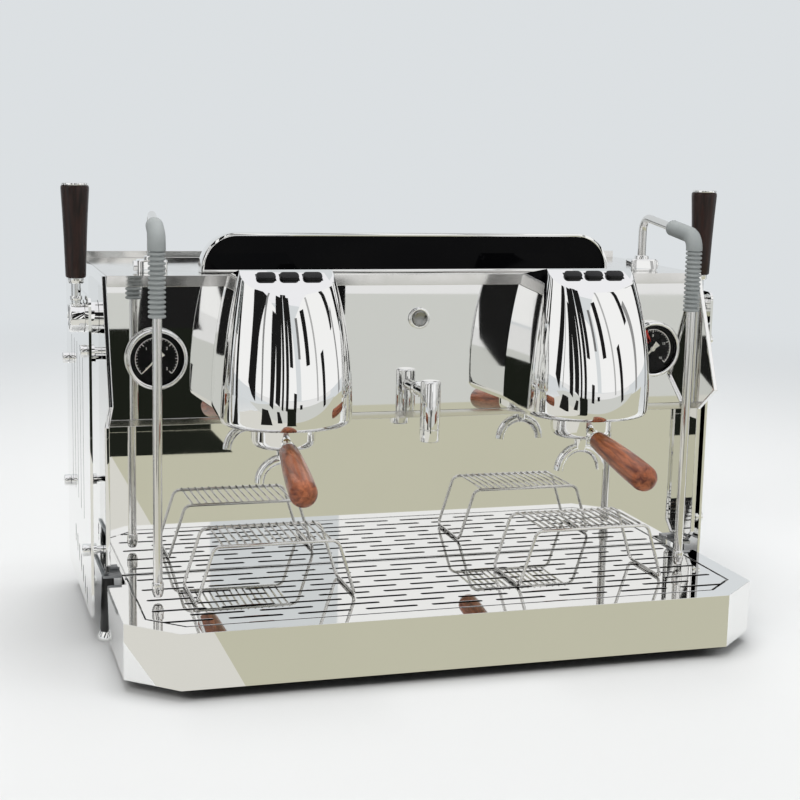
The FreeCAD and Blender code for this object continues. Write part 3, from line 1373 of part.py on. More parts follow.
def filter_basket(side, word, lock):
    """Thin steel basket that hangs by its rim inside the bowl."""
    outer = basket_radius
    wall = basket_wall
    low = rim_top - basket_depth
    high = rim_top + wall
    profile = [
        (size(0), low),
        (outer - cover_wall, low),
        (outer, low + cover_wall),
        (outer, rim_top + seam / 3),
        (rim_radius - seam, rim_top + seam / 3),
        (rim_radius - seam, high),
        (outer - wall, high),
        (outer - wall, low + cover_wall),
        (outer - cover_wall, low + wall),
        (size(0), low + wall),
    ]
    return turn_about(turned(word + "Basket", profile, (side * group_x, -group_y, 0)), (0, 0, 1), lock)


def wooden_handle(side, word, lock):
    """Turned wooden handle, swelling towards a round end."""
    body = doc.addObject("PartDesign::Body", word + "Wood")
    sketch = sketch_on(body, word + "WoodProfile", "XZ_Plane")
    swell_end = handle_length - handle_thick
    rise = handle_thick - handle_thin
    belly = (rise * rise + swell_end * swell_end) / (rise * 2)
    flat = lambda x, y: FreeCAD.Vector(size(x).value, size(y).value, 0)
    up = FreeCAD.Vector(0, 0, 1)
    start_angle = math.asin(swell_end.value / belly.value)
    side_arc = Part.Circle(flat(handle_thick - belly, swell_end), up, belly.value)
    end_arc = Part.Circle(flat(0, swell_end), up, handle_thick.value)
    sketch.addGeometry(Part.LineSegment(flat(0, 0), flat(handle_thin, 0)), False)
    sketch.addGeometry(Part.ArcOfCircle(side_arc, -start_angle, 0), False)
    sketch.addGeometry(Part.ArcOfCircle(end_arc, 0, math.pi / 2), False)
    sketch.addGeometry(Part.LineSegment(flat(0, handle_length), flat(0, 0)), False)
    spots = [(size(0), size(0)), (handle_thin, size(0)), (handle_thick, swell_end), (size(0), handle_length)]
    for edge, (u, v) in enumerate(spots):
        sketch.addConstraint(Sketcher.Constraint("Coincident", edge, 2, (edge + 1) % 4, 1))
        hold(sketch, "DistanceX", edge, 1, u)
        hold(sketch, "DistanceY", edge, 1, v)
    hold(sketch, "DistanceY", 1, 3, swell_end)
    hold(sketch, "DistanceY", 2, 3, swell_end)
    spin = body.newObject("PartDesign::Revolution", word + "WoodTurning")
    spin.Profile = sketch
    spin.ReferenceAxis = (sketch, ["V_Axis"])
    spin.Angle = 360
    slope = FreeCAD.Rotation(FreeCAD.Vector(1, 0, 0), 90 + handle_tilt.value)
    place(body, 0, -handle_start, handle_level, slope)
    bind(body, ".Placement.Rotation.Angle", handle_tilt + 90)
    carried = group(word + "HandlePlaced", body)
    return turn_about(place(carried, side * group_x, -group_y, 0), (0, 0, 1), lock)


for side, word, lock in ((LEFT, "Left", left_lock), (RIGHT, "Right", right_lock)):
    piece(word.lower() + "_portafilter", portafilter(side, word, lock))
    piece(word.lower() + "_filter_basket", filter_basket(side, word, lock))
    piece(word.lower() + "_filter_handle", wooden_handle(side, word, lock))

bezel_opening = gauge_radius - filter_wall
lens_radius = gauge_radius - cover_wall - seam
dial_level = gauge_reach / 4
lens_level = gauge_reach * 0.7
arbor_radius = pointer_length / 18


def gauge_case(side, word):
    """Chrome bezel and case of one pressure gauge."""
    chamfer = cover_wall
    cavity = lens_radius + seam
    profile = [
        (size(0), -gauge_depth),
        (gauge_case_radius, -gauge_depth),
        (gauge_case_radius, seam),
        (gauge_radius, seam),
        (gauge_radius, gauge_reach - chamfer),
        (gauge_radius - chamfer / 2, gauge_reach),
        (bezel_opening, gauge_reach),
        (bezel_opening, gauge_reach - chamfer / 2),
        (cavity, gauge_reach - chamfer / 2),
        (cavity, dial_level - seam),
        (arbor_radius + running, dial_level - seam),
        (arbor_radius + running, dial_level - chamfer * 2),
        (size(0), dial_level - chamfer * 2),
    ]
    return turned(word + "GaugeCase", profile, (side * gauge_x, size(0), gauge_level), FORWARD)


def gauge_dial(side, word):
    """Printed dial plate, holed for the pointer's arbor."""
    high = dial_level + basket_wall
    hole = arbor_radius + seam
    profile = [(hole, dial_level), (lens_radius, dial_level), (lens_radius, high), (hole, high)]
    return turned(word + "Dial", profile, (side * gauge_x, size(0), gauge_level), FORWARD)


def gauge_lens(side, word):
    """Flat glass under the bezel's lip."""
    high = gauge_reach - cover_wall / 2 - seam
    profile = [(size(0), lens_level), (lens_radius, lens_level), (lens_radius, high), (size(0), high)]
    return turned(word + "Lens", profile, (side * gauge_x, size(0), gauge_level), FORWARD)


def gauge_pointer(side, word):
    """Pointer with a counterweight tail and its arbor, standing at zero."""
    name = word + "Pointer"
    low = dial_level + basket_wall + seam * 2
    high = low + basket_wall
    half = arbor_radius
    tail = pointer_length / 2.4
    body = doc.addObject("PartDesign::Body", name + "Blade")
    corners = [
        (-pointer_length, half / 4),
        (-pointer_length, -half / 4),
        (-half, -half),
        (tail, -half * 3),
        (tail, half * 3),
        (-half, half),
    ]
    blade = outline(sketch_on(body, name + "Plan", "XY_Plane", low), corners)
    pad(body, name + "Pad", blade, high - low)
    arbor_start = dial_level - cover_wall * 2 + seam
    arbor = rod(name + "Arbor", arbor_radius, (size(0), size(0), arbor_start), low - arbor_start + seam)
    boss = rod(name + "Boss", arbor_radius * 2.4, (size(0), size(0), low), basket_wall * 2)
    laid = turn_about(group(name + "Laid", fuse(name + "Metal", body, arbor, boss)), (0, 0, 1), pointer_zero)
    stood = group(name + "Stood", laid)
    return place(stood, side * gauge_x, 0, gauge_level, FORWARD)


gauges = ((LEFT, "Left"), (RIGHT, "Right"))
piece("gauge_cases", group("GaugeCases", *[gauge_case(side, word) for side, word in gauges]))
piece("gauge_dials", group("GaugeDials", *[gauge_dial(side, word) for side, word in gauges]))
piece("gauge_lenses", group("GaugeLenses", *[gauge_lens(side, word) for side, word in gauges]))
for side, word in gauges:
    piece(word.lower() + "_gauge_pointer", gauge_pointer(side, word))


def power_switch():
    """Chrome ring on the panel and the switch body behind it."""
    bore = button_radius + running
    lip = button_ring - cover_wall / 2
    reach = filter_wall
    outside = [(button_ring, seam), (button_ring, reach - cover_wall / 2), (lip, reach)]
    profile = [(bore, seam)] + outside + [(bore, reach)]
    spot = (button_x, size(0), button_level)
    front = turned("SwitchRing", profile, spot, FORWARD)
    near_end = -sheet_wall - seam
    far_end = near_end - button_ring * 1.6
    hollow = near_end - button_ring
    shell = button_radius + seam
    back = [
        (size(0), far_end),
        (button_ring, far_end),
        (button_ring, near_end),
        (shell, near_end),
        (shell, hollow),
        (size(0), hollow),
    ]
    return group("PowerSwitch", front, turned("SwitchBody", back, spot, FORWARD))


def power_button():
    """Push button with a softened edge."""
    high = button_reach
    edge = cover_wall / 2
    low = -button_ring + edge
    outside = [(button_radius, low), (button_radius, high - edge), (button_radius - edge, high)]
    profile = [(size(0), low)] + outside + [(size(0), high)]
    return turned("PowerButton", profile, (button_x, size(0), button_level), FORWARD)


piece("power_switch", power_switch())
piece("power_button", power_button())


def water_spout():
    """Hot water spout on its arm, with an aerator at its lower end."""
    edge = cover_wall / 2
    joint = water_low + water_radius * 1.2
    bore = water_radius - cover_wall
    profile = [
        (bore, water_low),
        (water_radius - edge, water_low),
        (water_radius, water_low + edge),
        (water_radius, joint),
        (water_radius - edge / 2, joint),
        (water_radius - edge / 2, joint + edge),
        (water_radius, joint + edge),
        (water_radius, water_high - edge),
        (water_radius - edge, water_high),
        (size(0), water_high),
        (size(0), joint),
        (bore, joint),
    ]
    tube = turned("SpoutTube", profile, (water_x, -water_y, size(0)))
    arm_end = sheet_wall + water_radius
    arm_start = (water_x, -water_y, water_arm_level)
    arm = rod("SpoutArm", water_arm_radius, arm_start, water_y + arm_end, ALONG_Y)
    collar_reach = cover_wall * 1.6
    collar_start = (water_x, -collar_reach - seam, water_arm_level)
    collar = rod("SpoutCollar", water_arm_radius + cover_wall, collar_start, collar_reach, ALONG_Y)
    nut_start = (water_x, sheet_wall + seam, water_arm_level)
    nut = hexagon("SpoutNut", water_radius, nut_start, water_radius / 2, ALONG_Y)
    return fuse("WaterSpout", tube, arm, collar, nut)


piece("water_spout", water_spout())

spindle_length = valve_collar / 2


def steam_valve():
    """Left steam valve: body inside, socket for the wand and the collar outside."""
    inner = valve_inner - seam
    body = rod("ValveBody", valve_neck, (-inner, lever_y, valve_level), inner - valve_start, ALONG_X)
    socket_high = top_under - wand_end - seam
    socket = rod("ValveSocket", valve_neck, (-wand_x, wand_y, valve_level), socket_high - valve_level)
    collar_start = (-inner, lever_y, valve_level)
    collar_length = inner - body_half_width - seam
    collar = rod("ValveCollar", valve_collar, collar_start, collar_length, ALONG_X)
    bore_end = spindle_length + seam
    bore = rod("ValveBore", valve_spindle + running, collar_start, bore_end, ALONG_X)
    return cut("SteamValve", fuse("ValveMetal", body, socket, collar), bore)


left_valve = steam_valve()
piece("steam_valves", group("SteamValves", left_valve, mirrored("RightSteamValve", left_valve)))


def steam_lever():
    """Left steam lever: hub with its spindle, stem, collar, inner rod and end cap."""
    edge = cover_wall
    profile = [
        (size(0), size(0)),
        (valve_radius, size(0)),
        (valve_radius, hub_length - edge),
        (valve_radius - edge, hub_length),
        (size(0), hub_length),
    ]
    outwards = FreeCAD.Rotation(FreeCAD.Vector(0, 1, 0), -90)
    hub = turned("LeverHub", profile, (-valve_inner, lever_y, valve_level), outwards)
    spindle_start = (-valve_inner - edge, lever_y, valve_level)
    spindle = rod("LeverSpindle", valve_spindle, spindle_start, spindle_length + edge, ALONG_X)
    foot = (-lever_x, lever_y, valve_level)
    shoulder = lever_handle_low - seam
    stem = rod("LeverStem", lever_stem, foot, shoulder - valve_level)
    collar_foot = (-lever_x, lever_y, valve_level + valve_radius + edge)
    collar = rod("LeverCollar", lever_stem + sheet_wall, collar_foot, edge * 2)
    core_foot = (-lever_x, lever_y, shoulder - edge)
    core = rod("LeverCore", lever_rod, core_foot, lever_handle_high + edge - shoulder + edge)
    cap_profile = [
        (size(0), size(0)),
        (lever_handle_thick - edge / 3, size(0)),
        (lever_handle_thick - edge / 3, lever_cap / 2),
        (lever_handle_thick - edge, lever_cap),
        (size(0), lever_cap),
    ]
    cap = turned("LeverCap", cap_profile, (-lever_x, lever_y, lever_handle_high + seam))
    return fuse("SteamLever", hub, spindle, stem, collar, core, cap)


def lever_handle():
    """Left lever's tapered handle, bored for the rod."""
    bore = lever_rod + running
    edge = lever_cap / 2
    profile = [
        (bore, lever_handle_low),
        (lever_handle_thin - edge, lever_handle_low),
        (lever_handle_thin, lever_handle_low + edge),
        (lever_handle_thick, lever_handle_high - edge),
        (lever_handle_thick - edge, lever_handle_high),
        (bore, lever_handle_high),
    ]
    return turned("LeverHandle", profile, (-lever_x, lever_y, size(0)))


left_lever = steam_lever()
left_lever_handle = lever_handle()
piece("left_steam_lever", left_lever)
piece("right_steam_lever", mirrored("RightSteamLever", left_lever))
piece("left_lever_handle", left_lever_handle)
piece("right_lever_handle", mirrored("RightLeverHandle", left_lever_handle))


def wand_fitting():
    """Left wand's swivel block on the top cover, with its side nut."""
    low = top_level + seam
    high = low + fitting_height
    body = doc.addObject("PartDesign::Body", "FittingBlock")
    half_x = fitting_width
    half_y = fitting_width * 0.7
    corners = [(-half_x, -half_y), (half_x, -half_y), (half_x, half_y), (-half_x, half_y)]
    plan = outline(sketch_on(body, "FittingPlan", "XY_Plane", low), corners)
    block = pad(body, "FittingPad", plan, fitting_height)
    soft = body_fillet(body, "FittingSides", block, fitting_width / 3, lambda edge: runs_along(edge, "z"))
    crown = lambda edge: near(edge.BoundBox.ZMin, high.value) and near(edge.BoundBox.ZMax, high.value)
    body_fillet(body, "FittingTop", soft, fitting_height / 6, crown)
    place(body, -wand_x, wand_y, 0)
    neck = rod("FittingNeck", fitting_nut * 1.25, (-wand_x, wand_y, low), fitting_height * 1.3)
    nut_start = (-wand_x - fitting_width - fitting_nut / 2, wand_y, (low + high) / 2)
    nut = hexagon("FittingNut", fitting_nut * 0.9, nut_start, fitting_width, ALONG_X)
    bore = rod("FittingBore", wand_radius + running, (-wand_x, wand_y, low), fitting_height * 2)
    return cut("WandFitting", fuse("FittingMetal", body, neck, nut), bore)


left_fitting = wand_fitting()
piece("wand_fittings", group("WandFittings", left_fitting, mirrored("RightWandFitting", left_fitting)))

OVER_RISER = axes((0, 1, 0), (0, 0, 1), (1, 0, 0))
OVER_DROP = axes((0, -1, 0), (0, 0, 1), (-1, 0, 0))
first_half = (wand_slope + 90) / 2
second_half = (90 - wand_slope) / 2
first_run = wand_bend * sine(first_half) / cosine(first_half)
second_run = wand_drop_bend * sine(second_half) / cosine(second_half)
run_end = wand_crest - wand_reach * sine(wand_slope) / cosine(wand_slope)
drop_level = run_end - second_run
run_length = wand_reach / cosine(wand_slope) - first_run - second_run


def wand_run(name, radius, skip):
    """The falling run, the second bend and the start of the drop, in the wand's own plane."""
    along = first_run + skip
    start = (size(0), -along * cosine(wand_slope), wand_crest - along * sine(wand_slope))
    slope = FreeCAD.Rotation(FreeCAD.Vector(1, 0, 0), 90 + wand_slope.value)
    run = rod(name + "Run", radius, start, run_length - skip, slope)
    bind(run, ".Placement.Rotation.Angle", wand_slope + 90)
    turn_back = wand_drop_bend - wand_reach
    elbow = bend(name + "Drop", wand_drop_bend, radius, 90 - wand_slope, 0, turn_back, drop_level, OVER_DROP)
    return [run, elbow]


def steam_wand():
    """Left steam wand: riser, bend, run, bend, hanging tube and nozzle."""
    riser_low = top_under - wand_end
    riser = rod("WandRiser", wand_radius, (size(0), size(0), riser_low), wand_crest - first_run - riser_low)
    rise_end = wand_crest - first_run
    elbow = bend("WandElbow", wand_bend, wand_radius, wand_slope + 90, 0, -wand_bend, rise_end, OVER_RISER)
    nozzle_high = wand_tip + nozzle_length
    hang = (size(0), -wand_reach, nozzle_high - seam)
    tube = rod("WandTube", wand_radius, hang, drop_level - nozzle_high + seam)
    waist = nozzle_radius - sheet_wall
    nozzle_profile = [
        (size(0), wand_tip),
        (waist - sheet_wall, wand_tip),
        (waist, wand_tip + sheet_wall),
        (nozzle_radius, wand_tip + nozzle_length / 3),
        (nozzle_radius, nozzle_high - sheet_wall),
        (wand_radius, nozzle_high),
        (size(0), nozzle_high),
    ]
    nozzle = turned("WandNozzle", nozzle_profile, (size(0), -wand_reach, size(0)))
    return fuse("WandMetal", riser, elbow, *wand_run("WandPath", wand_radius, size(0)), tube, nozzle)


def wand_grip():
    """Left wand's rubber grip: smooth round the bend, ribbed below it."""
    smooth = wand_run("GripPath", grip_radius, grip_start - first_run)
    ribs_high = grip_low + grip_rib_pitch * grip_ribs
    bore = wand_radius + seam / 3
    ribs = [(bore, grip_low)]
    for count in range(int(grip_ribs.value)):
        foot = grip_low + grip_rib_pitch * count
        ribs += [(grip_valley, foot), (grip_radius, foot + grip_rib_pitch / 2)]
    ribs += [(grip_valley, ribs_high), (grip_radius, ribs_high)]
    ribs += [(grip_radius, drop_level), (bore, drop_level)]
    ribbed = turned("GripRibs", ribs, (size(0), -wand_reach, size(0)))
    hollow = wand_run("GripHollow", bore, size(0))
    return cut("GripRubber", fuse("GripSkin", *smooth, ribbed), *hollow)


def hung(side, word, turn, name, item):
    """Stand a wand's piece over its riser, turned outwards."""
    copy = turn_about(group(word + name, item), (0, 0, 1), side * turn)
    return place_kept(copy, side * wand_x, wand_y, 0)


wand_metal = steam_wand()
grip_rubber = wand_grip()
for side, word, turn in ((LEFT, "Left", left_wand_turn), (RIGHT, "Right", right_wand_turn)):
    piece(word.lower() + "_steam_wand", hung(side, word, turn, "SteamWand", wand_metal))
    piece(word.lower() + "_wand_grip", hung(side, word, turn, "WandGrip", grip_rubber))

OVER_RIGHT = axes((0, 0, 1), (1, 0, 0), (0, 1, 0))
OVER_LEFT = axes((0, 0, 1), (-1, 0, 0), (0, -1, 0))
UNDER_FRONT = axes((0, -1, 0), (0, 0, -1), (1, 0, 0))
UNDER_REAR = axes((0, 1, 0), (0, 0, -1), (-1, 0, 0))

stand_floor = tray_high + seam + stand_wire
stand_deck = tray_high + seam + stand_height - stand_cross_wire - stand_wire
stand_foot = stand_foot_length / 2 - stand_wire
stand_lean = (stand_deck - stand_floor) * sine(stand_splay) / cosine(stand_splay)
stand_half = stand_foot - stand_lean
rail_half = stand_depth / 2
top_sweep = 90 - stand_splay
top_tangent = stand_bend * sine(top_sweep / 2) / cosine(top_sweep / 2)
leg_top = (stand_deck - stand_floor) / cosine(stand_splay) - top_tangent


def stand_side(side, word, turn):
    """Two legs and the floor run between them, bent from one wire and leaned inwards."""
    wire = stand_wire
    radius = stand_bend
    front = -rail_half + radius
    rear = rail_half - radius
    leg_length = leg_top - radius
    parts = [
        rod(word + "FrontLeg", wire, (size(0), -rail_half, radius), leg_length),
        rod(word + "RearLeg", wire, (size(0), rail_half, radius), leg_length),
        rod(word + "FloorRun", wire, (size(0), front, size(0)), rear - front, ALONG_Y),
        bend(word + "FrontBend", radius, wire, size(90), 0, front, radius, UNDER_FRONT),
        bend(word + "RearBend", radius, wire, size(90), 0, rear, radius, UNDER_REAR),
    ]
    leaned = turn_about(group(word + "Lean", fuse(word + "Side", *parts)), (0, 1, 0), -side * stand_splay)
    place_kept(leaned, side * stand_foot, 0, stand_floor)
    corners = []
    for spot, back in ((-rail_half, "Front"), (rail_half, "Rear")):
        x = side * (stand_half - top_tangent)
        level = stand_deck - radius
        corners.append(bend(word + back + "Corner", radius, wire, top_sweep, x, spot, level, turn))
    return [leaned] + corners


def cup_stand():
    """Wire stand: one closed frame wire and cross wires welded between its rails."""
    parts = stand_side(LEFT, "StandLeft", OVER_LEFT) + stand_side(RIGHT, "StandRight", OVER_RIGHT)
    rail_end = stand_half - top_tangent
    for spot, back in ((-rail_half, "Front"), (rail_half, "Rear")):
        start = (-rail_end, spot, stand_deck)
        parts.append(rod("Stand" + back + "Rail", stand_wire, start, rail_end * 2, ALONG_X))
    pitch = rail_end * 2 / (stand_cross_count + 1)
    level = stand_deck + stand_wire
    for count in range(int(stand_cross_count.value)):
        start = (pitch * (count + 1) - rail_end, -rail_half, level)
        parts.append(rod("CrossWire" + str(count + 1), stand_cross_wire, start, stand_depth, ALONG_Y))
    return fuse("CupStand", *parts)


stand = cup_stand()
for word, x, front in (("Left", stand_left_x, stand_left_y), ("Right", stand_right_x, stand_right_y)):
    piece(word.lower() + "_cup_stand", place(group(word + "CupStand", stand), x, -front, 0))


def dished_shell(name, radius, dish, start, length, turn):
    """A cylinder with dished ends, as a solid, lying along X or upright."""
    run = (length, 0, 0) if turn == ALONG_X else (0, 0, length)
    parts = [rod(name + "Drum", radius, start, length, turn)]
    for share, word in ((0, "Near"), (1, "Far")):
        end = doc.addObject("Part::Ellipsoid", name + word + "End")
        bind(end, "Radius1", dish)
        bind(end, "Radius2", radius)
        bind(end, "Radius3", radius)
        x, y, z = [start[axis] + size(run[axis]) * share for axis in range(3)]
        parts.append(place(end, x, y, z, turn))
    return fuse(name, *parts)


def steam_boiler():
    """Horizontal steam boiler with dished ends and its flange ring."""
    start = (-boiler_half_length, boiler_y, boiler_level)
    length = boiler_half_length * 2
    skin = dished_shell("BoilerSkin", boiler_radius, boiler_dish, start, length, ALONG_X)
    inner_radius = boiler_radius - boiler_wall
    hollow = dished_shell("BoilerHollow", inner_radius, boiler_dish - boiler_wall, start, length, ALONG_X)
    return cut("SteamBoiler", skin, hollow)


piece("steam_boiler", steam_boiler())


def brew_boiler(side, word):
    """Upright brew boiler behind its group."""
    start = (side * group_x, brew_y, brew_low + boiler_dish / 2)
    length = brew_high - brew_low - boiler_dish
    skin = dished_shell(word + "BrewSkin", brew_radius, boiler_dish / 2, start, length, UPRIGHT)
    inner_dish = boiler_dish / 2 - boiler_wall
    hollow = dished_shell(word + "BrewHollow", brew_radius - boiler_wall, inner_dish, start, length, UPRIGHT)
    return cut(word + "BrewBoiler", skin, hollow)


piece("brew_boilers", group("BrewBoilers", brew_boiler(LEFT, "Left"), brew_boiler(RIGHT, "Right")))

motor_level = deck_top + seam + motor_radius + deck_wall
pump_start = motor_x + seam
pump_end = pump_start + pump_length


def pump_motor():
    """Pump motor with cooling ribs and its foot plate."""
    start = (motor_x - motor_length, motor_y, motor_level)
    shell = rod("MotorShell", motor_radius - panel_wall, start, motor_length, ALONG_X)
    parts = [shell]
    for count in range(9):
        rib_x = motor_x - motor_length / 10 * (count + 1)
        rib_start = (rib_x - panel_wall / 2, motor_y, motor_level)
        parts.append(rod("MotorRib" + str(count + 1), motor_radius, rib_start, panel_wall, ALONG_X))
    low = deck_top + seam
    plate_low = (motor_x - motor_length, motor_y - motor_radius, low)
    parts.append(box("MotorFoot", plate_low, (motor_x, motor_y + motor_radius, low + deck_wall)))
    leg_low = (motor_x - motor_length * 0.8, motor_y - motor_radius / 2, low)
    leg_high = (motor_x - motor_length * 0.2, motor_y + motor_radius / 2, motor_level)
    parts.append(box("MotorLeg", leg_low, leg_high))
    return fuse("PumpMotor", *parts)


piece("pump_motor", pump_motor())


def pump():
    """Rotary pump on the motor's shaft end."""
    start = (pump_start, motor_y, motor_level)
    body = rod("PumpBody", pump_radius, start, pump_length, ALONG_X)
    flange = rod("PumpFlange", pump_radius * 1.3, start, panel_wall * 2, ALONG_X)
    clamp_start = (pump_start + pump_length / 2, motor_y, motor_level)
    clamp = rod("PumpClamp", pump_radius * 1.1, clamp_start, panel_wall * 3, ALONG_X)
    return fuse("Pump", body, flange, clamp)


piece("pump", pump())


def control_box():
    """Closed sheet box for the controls, with a lid that laps over its walls."""
    low = deck_top + seam
    high = low + control_height
    rear = boiler_y + saddle_half * 0.8
    outer = box("ControlBlock", (control_low_x, control_front, low), (control_high_x, rear, high))
    wall = sheet_wall
    inner_low = (control_low_x + wall, control_front + wall, low + wall)
    inner = box("ControlInside", inner_low, (control_high_x - wall, rear - wall, high - wall))
    lap = wall * 2
    lid_low = (control_low_x - wall, control_front - wall, high - lap)
    lid = box("ControlLid", lid_low, (control_high_x + wall, rear + wall, high + wall))
    return fuse("ControlBox", cut("ControlShell", outer, inner), lid)


piece("control_box", control_box())


def pipe(name, spots):
    """Copper pipe through a row of places, each step along one axis."""
    parts = []
    for count in range(len(spots) - 1):
        start = [size(value) for value in spots[count]]
        end = [size(value) for value in spots[count + 1]]
        gaps = [end[axis].value - start[axis].value for axis in range(3)]
        axis = max(range(3), key=lambda number: abs(gaps[number]))
        turn = (ALONG_X, ALONG_Y, UPRIGHT)[axis]
        low, high = (start, end) if gaps[axis] > 0 else (end, start)
        parts.append(rod(name + "Run" + str(count + 1), pipe_radius, low, high[axis] - low[axis], turn))
        if count:
            parts.append(ball(name + "Elbow" + str(count), pipe_radius, *start))
    if len(parts) == 1:
        return parts[0]
    return fuse(name, *parts)


def pipework():
    """Copper pipes between the boilers, the valves, the pump and the inlet."""
    pipes = []
    boiler_top = boiler_level + boiler_radius + seam
    outlet_y = boiler_y
    for side, word in ((LEFT, "Left"), (RIGHT, "Right")):
        out_x = side * steam_pipe_x
        end_x = side * (valve_start - seam)
        turn_x = side * (valve_start - pipe_radius * 5)
        route = [
            (out_x, outlet_y, boiler_top),
            (out_x, outlet_y, steam_pipe_level),
            (turn_x, outlet_y, steam_pipe_level),
            (turn_x, lever_y, steam_pipe_level),
            (turn_x, lever_y, valve_level),
            (end_x, lever_y, valve_level),
        ]
        pipes.append(pipe(word + "SteamPipe", route))
        brew_x = side * group_x
        feed = [
            (brew_x, brew_y + brew_radius + seam, boiler_level),
            (brew_x, boiler_y - boiler_radius - seam, boiler_level),
        ]
        pipes.append(pipe(word + "BrewPipe", feed))
    inlet_y = body_rear - inlet_reach * 1.3 - seam
    bend_y = inlet_y - pipe_radius * 4
    turn_x = pump_end + pipe_radius * 4
    supply = [
        (inlet_x, inlet_y, inlet_level),
        (inlet_x, bend_y, inlet_level),
        (turn_x, bend_y, inlet_level),
        (turn_x, motor_y, inlet_level),
        (turn_x, motor_y, motor_level),
        (pump_end + seam, motor_y, motor_level),
    ]
    pipes.append(pipe("SupplyPipe", supply))
    fill_x = pump_start + pump_length / 4
    drop = chord(boiler_radius, boiler_y - motor_y - pipe_radius)
    fill = [
        (fill_x, motor_y, motor_level + pump_radius + seam),
        (fill_x, motor_y, boiler_level - drop - seam * 2),
    ]
    pipes.append(pipe("FillPipe", fill))
    return group("Pipework", *pipes)


piece("pipework", pipework())


def rear_fittings():
    """Threaded water inlet and the cable gland on the rear cover."""
    outside = body_rear + seam
    inlet_start = (inlet_x, body_rear - inlet_reach * 1.3, inlet_level)
    inlet = rod("InletTube", inlet_radius, inlet_start, inlet_reach * 2.3, ALONG_Y)
    inlet_spot = (inlet_x, outside, inlet_level)
    inlet_nut = hexagon("InletNut", inlet_radius * 1.5, inlet_spot, inlet_reach / 3, ALONG_Y)
    inlet_bore = rod("InletBore", inlet_radius * 0.7, inlet_start, inlet_reach * 3, ALONG_Y)
    gland_start = (gland_x, body_rear - inlet_reach, inlet_level)
    gland = rod("GlandTube", gland_radius, gland_start, inlet_reach * 1.8, ALONG_Y)
    gland_spot = (gland_x, outside, inlet_level)
    gland_nut = hexagon("GlandNut", gland_radius * 1.3, gland_spot, inlet_reach / 2, ALONG_Y)
    gland_hole = rod("GlandBore", gland_bore, gland_start, inlet_reach * 3, ALONG_Y)
    first = cut("WaterInlet", fuse("InletMetal", inlet, inlet_nut), inlet_bore)
    second = cut("CableGland", fuse("GlandMetal", gland, gland_nut), gland_hole)
    return group("RearFittings", first, second)


piece("rear_fittings", rear_fittings())

doc.recompute()

for item in doc.Objects:
    if "Invalid" in item.State or "Error" in item.State:
        raise RuntimeError(item.Name + " has failed: " + ", ".join(item.State))

for name, item in pieces.items():
    if item.Shape.isNull() or not item.Shape.isValid():
        raise RuntimeError(name + " has no valid shape")

os.makedirs("parts", exist_ok=True)
for name, item in pieces.items():
    item.Shape.exportStep("parts/" + name + ".step")
    print(name, len(item.Shape.Solids), "solids", round(item.Shape.Volume / 1000, 1), "cm3")
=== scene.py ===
import json
import math
import bpy
from mathutils import Matrix, Vector

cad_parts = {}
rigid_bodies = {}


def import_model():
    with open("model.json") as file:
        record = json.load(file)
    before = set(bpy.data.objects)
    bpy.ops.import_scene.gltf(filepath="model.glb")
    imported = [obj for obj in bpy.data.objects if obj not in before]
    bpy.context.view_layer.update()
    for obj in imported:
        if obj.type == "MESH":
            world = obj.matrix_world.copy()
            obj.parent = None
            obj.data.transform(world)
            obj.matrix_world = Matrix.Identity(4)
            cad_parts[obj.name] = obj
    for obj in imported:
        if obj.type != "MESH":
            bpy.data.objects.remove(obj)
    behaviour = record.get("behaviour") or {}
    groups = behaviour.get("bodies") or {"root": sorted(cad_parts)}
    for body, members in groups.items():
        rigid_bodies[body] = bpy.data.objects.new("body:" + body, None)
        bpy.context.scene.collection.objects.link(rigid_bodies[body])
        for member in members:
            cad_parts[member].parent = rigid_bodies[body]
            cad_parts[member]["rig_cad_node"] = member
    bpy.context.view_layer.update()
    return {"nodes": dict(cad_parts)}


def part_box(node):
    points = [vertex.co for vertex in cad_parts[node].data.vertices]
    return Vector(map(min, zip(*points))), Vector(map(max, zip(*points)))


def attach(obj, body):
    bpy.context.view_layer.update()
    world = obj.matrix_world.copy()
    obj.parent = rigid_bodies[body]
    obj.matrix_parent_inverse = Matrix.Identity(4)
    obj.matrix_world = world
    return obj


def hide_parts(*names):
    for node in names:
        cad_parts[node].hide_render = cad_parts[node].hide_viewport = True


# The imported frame: X runs along the machine, Y towards its rear, Z up, in metres.
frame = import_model()
nodes = frame["nodes"]
SIDES = ((-1, "left"), (1, "right"))

# Inner frame.
# Welded square posts and rails with two saddles for the boiler, bolted to a folded deck
# with two arms that reach under the drip tray. Zinc-plated steel, dull grey with a light
# mottle. Most of it is closed in, so the frame's own meshes are shown as they are.


def wire(tree, source, output, target, socket):
    """Link one node's output to another's input."""
    tree.links.new(source.outputs[output], target.inputs[socket])


def set_inputs(node, values):
    """Set some of a node's inputs."""
    for socket, value in values.items():
        node.inputs[socket].default_value = value
    return node


def made(tree, kind, values={}, **settings):
    """Add a shader node with its settings and some of its inputs."""
    node = tree.nodes.new("ShaderNode" + kind)
    for name, value in settings.items():
        setattr(node, name, value)
    return set_inputs(node, values)


def new_material(name, values):
    """A material with its node tree and its shader, some of whose inputs are set."""
    material = bpy.data.materials.new(name)
    material.use_nodes = True
    tree = material.node_tree
    return material, tree, set_inputs(tree.nodes["Principled BSDF"], values)


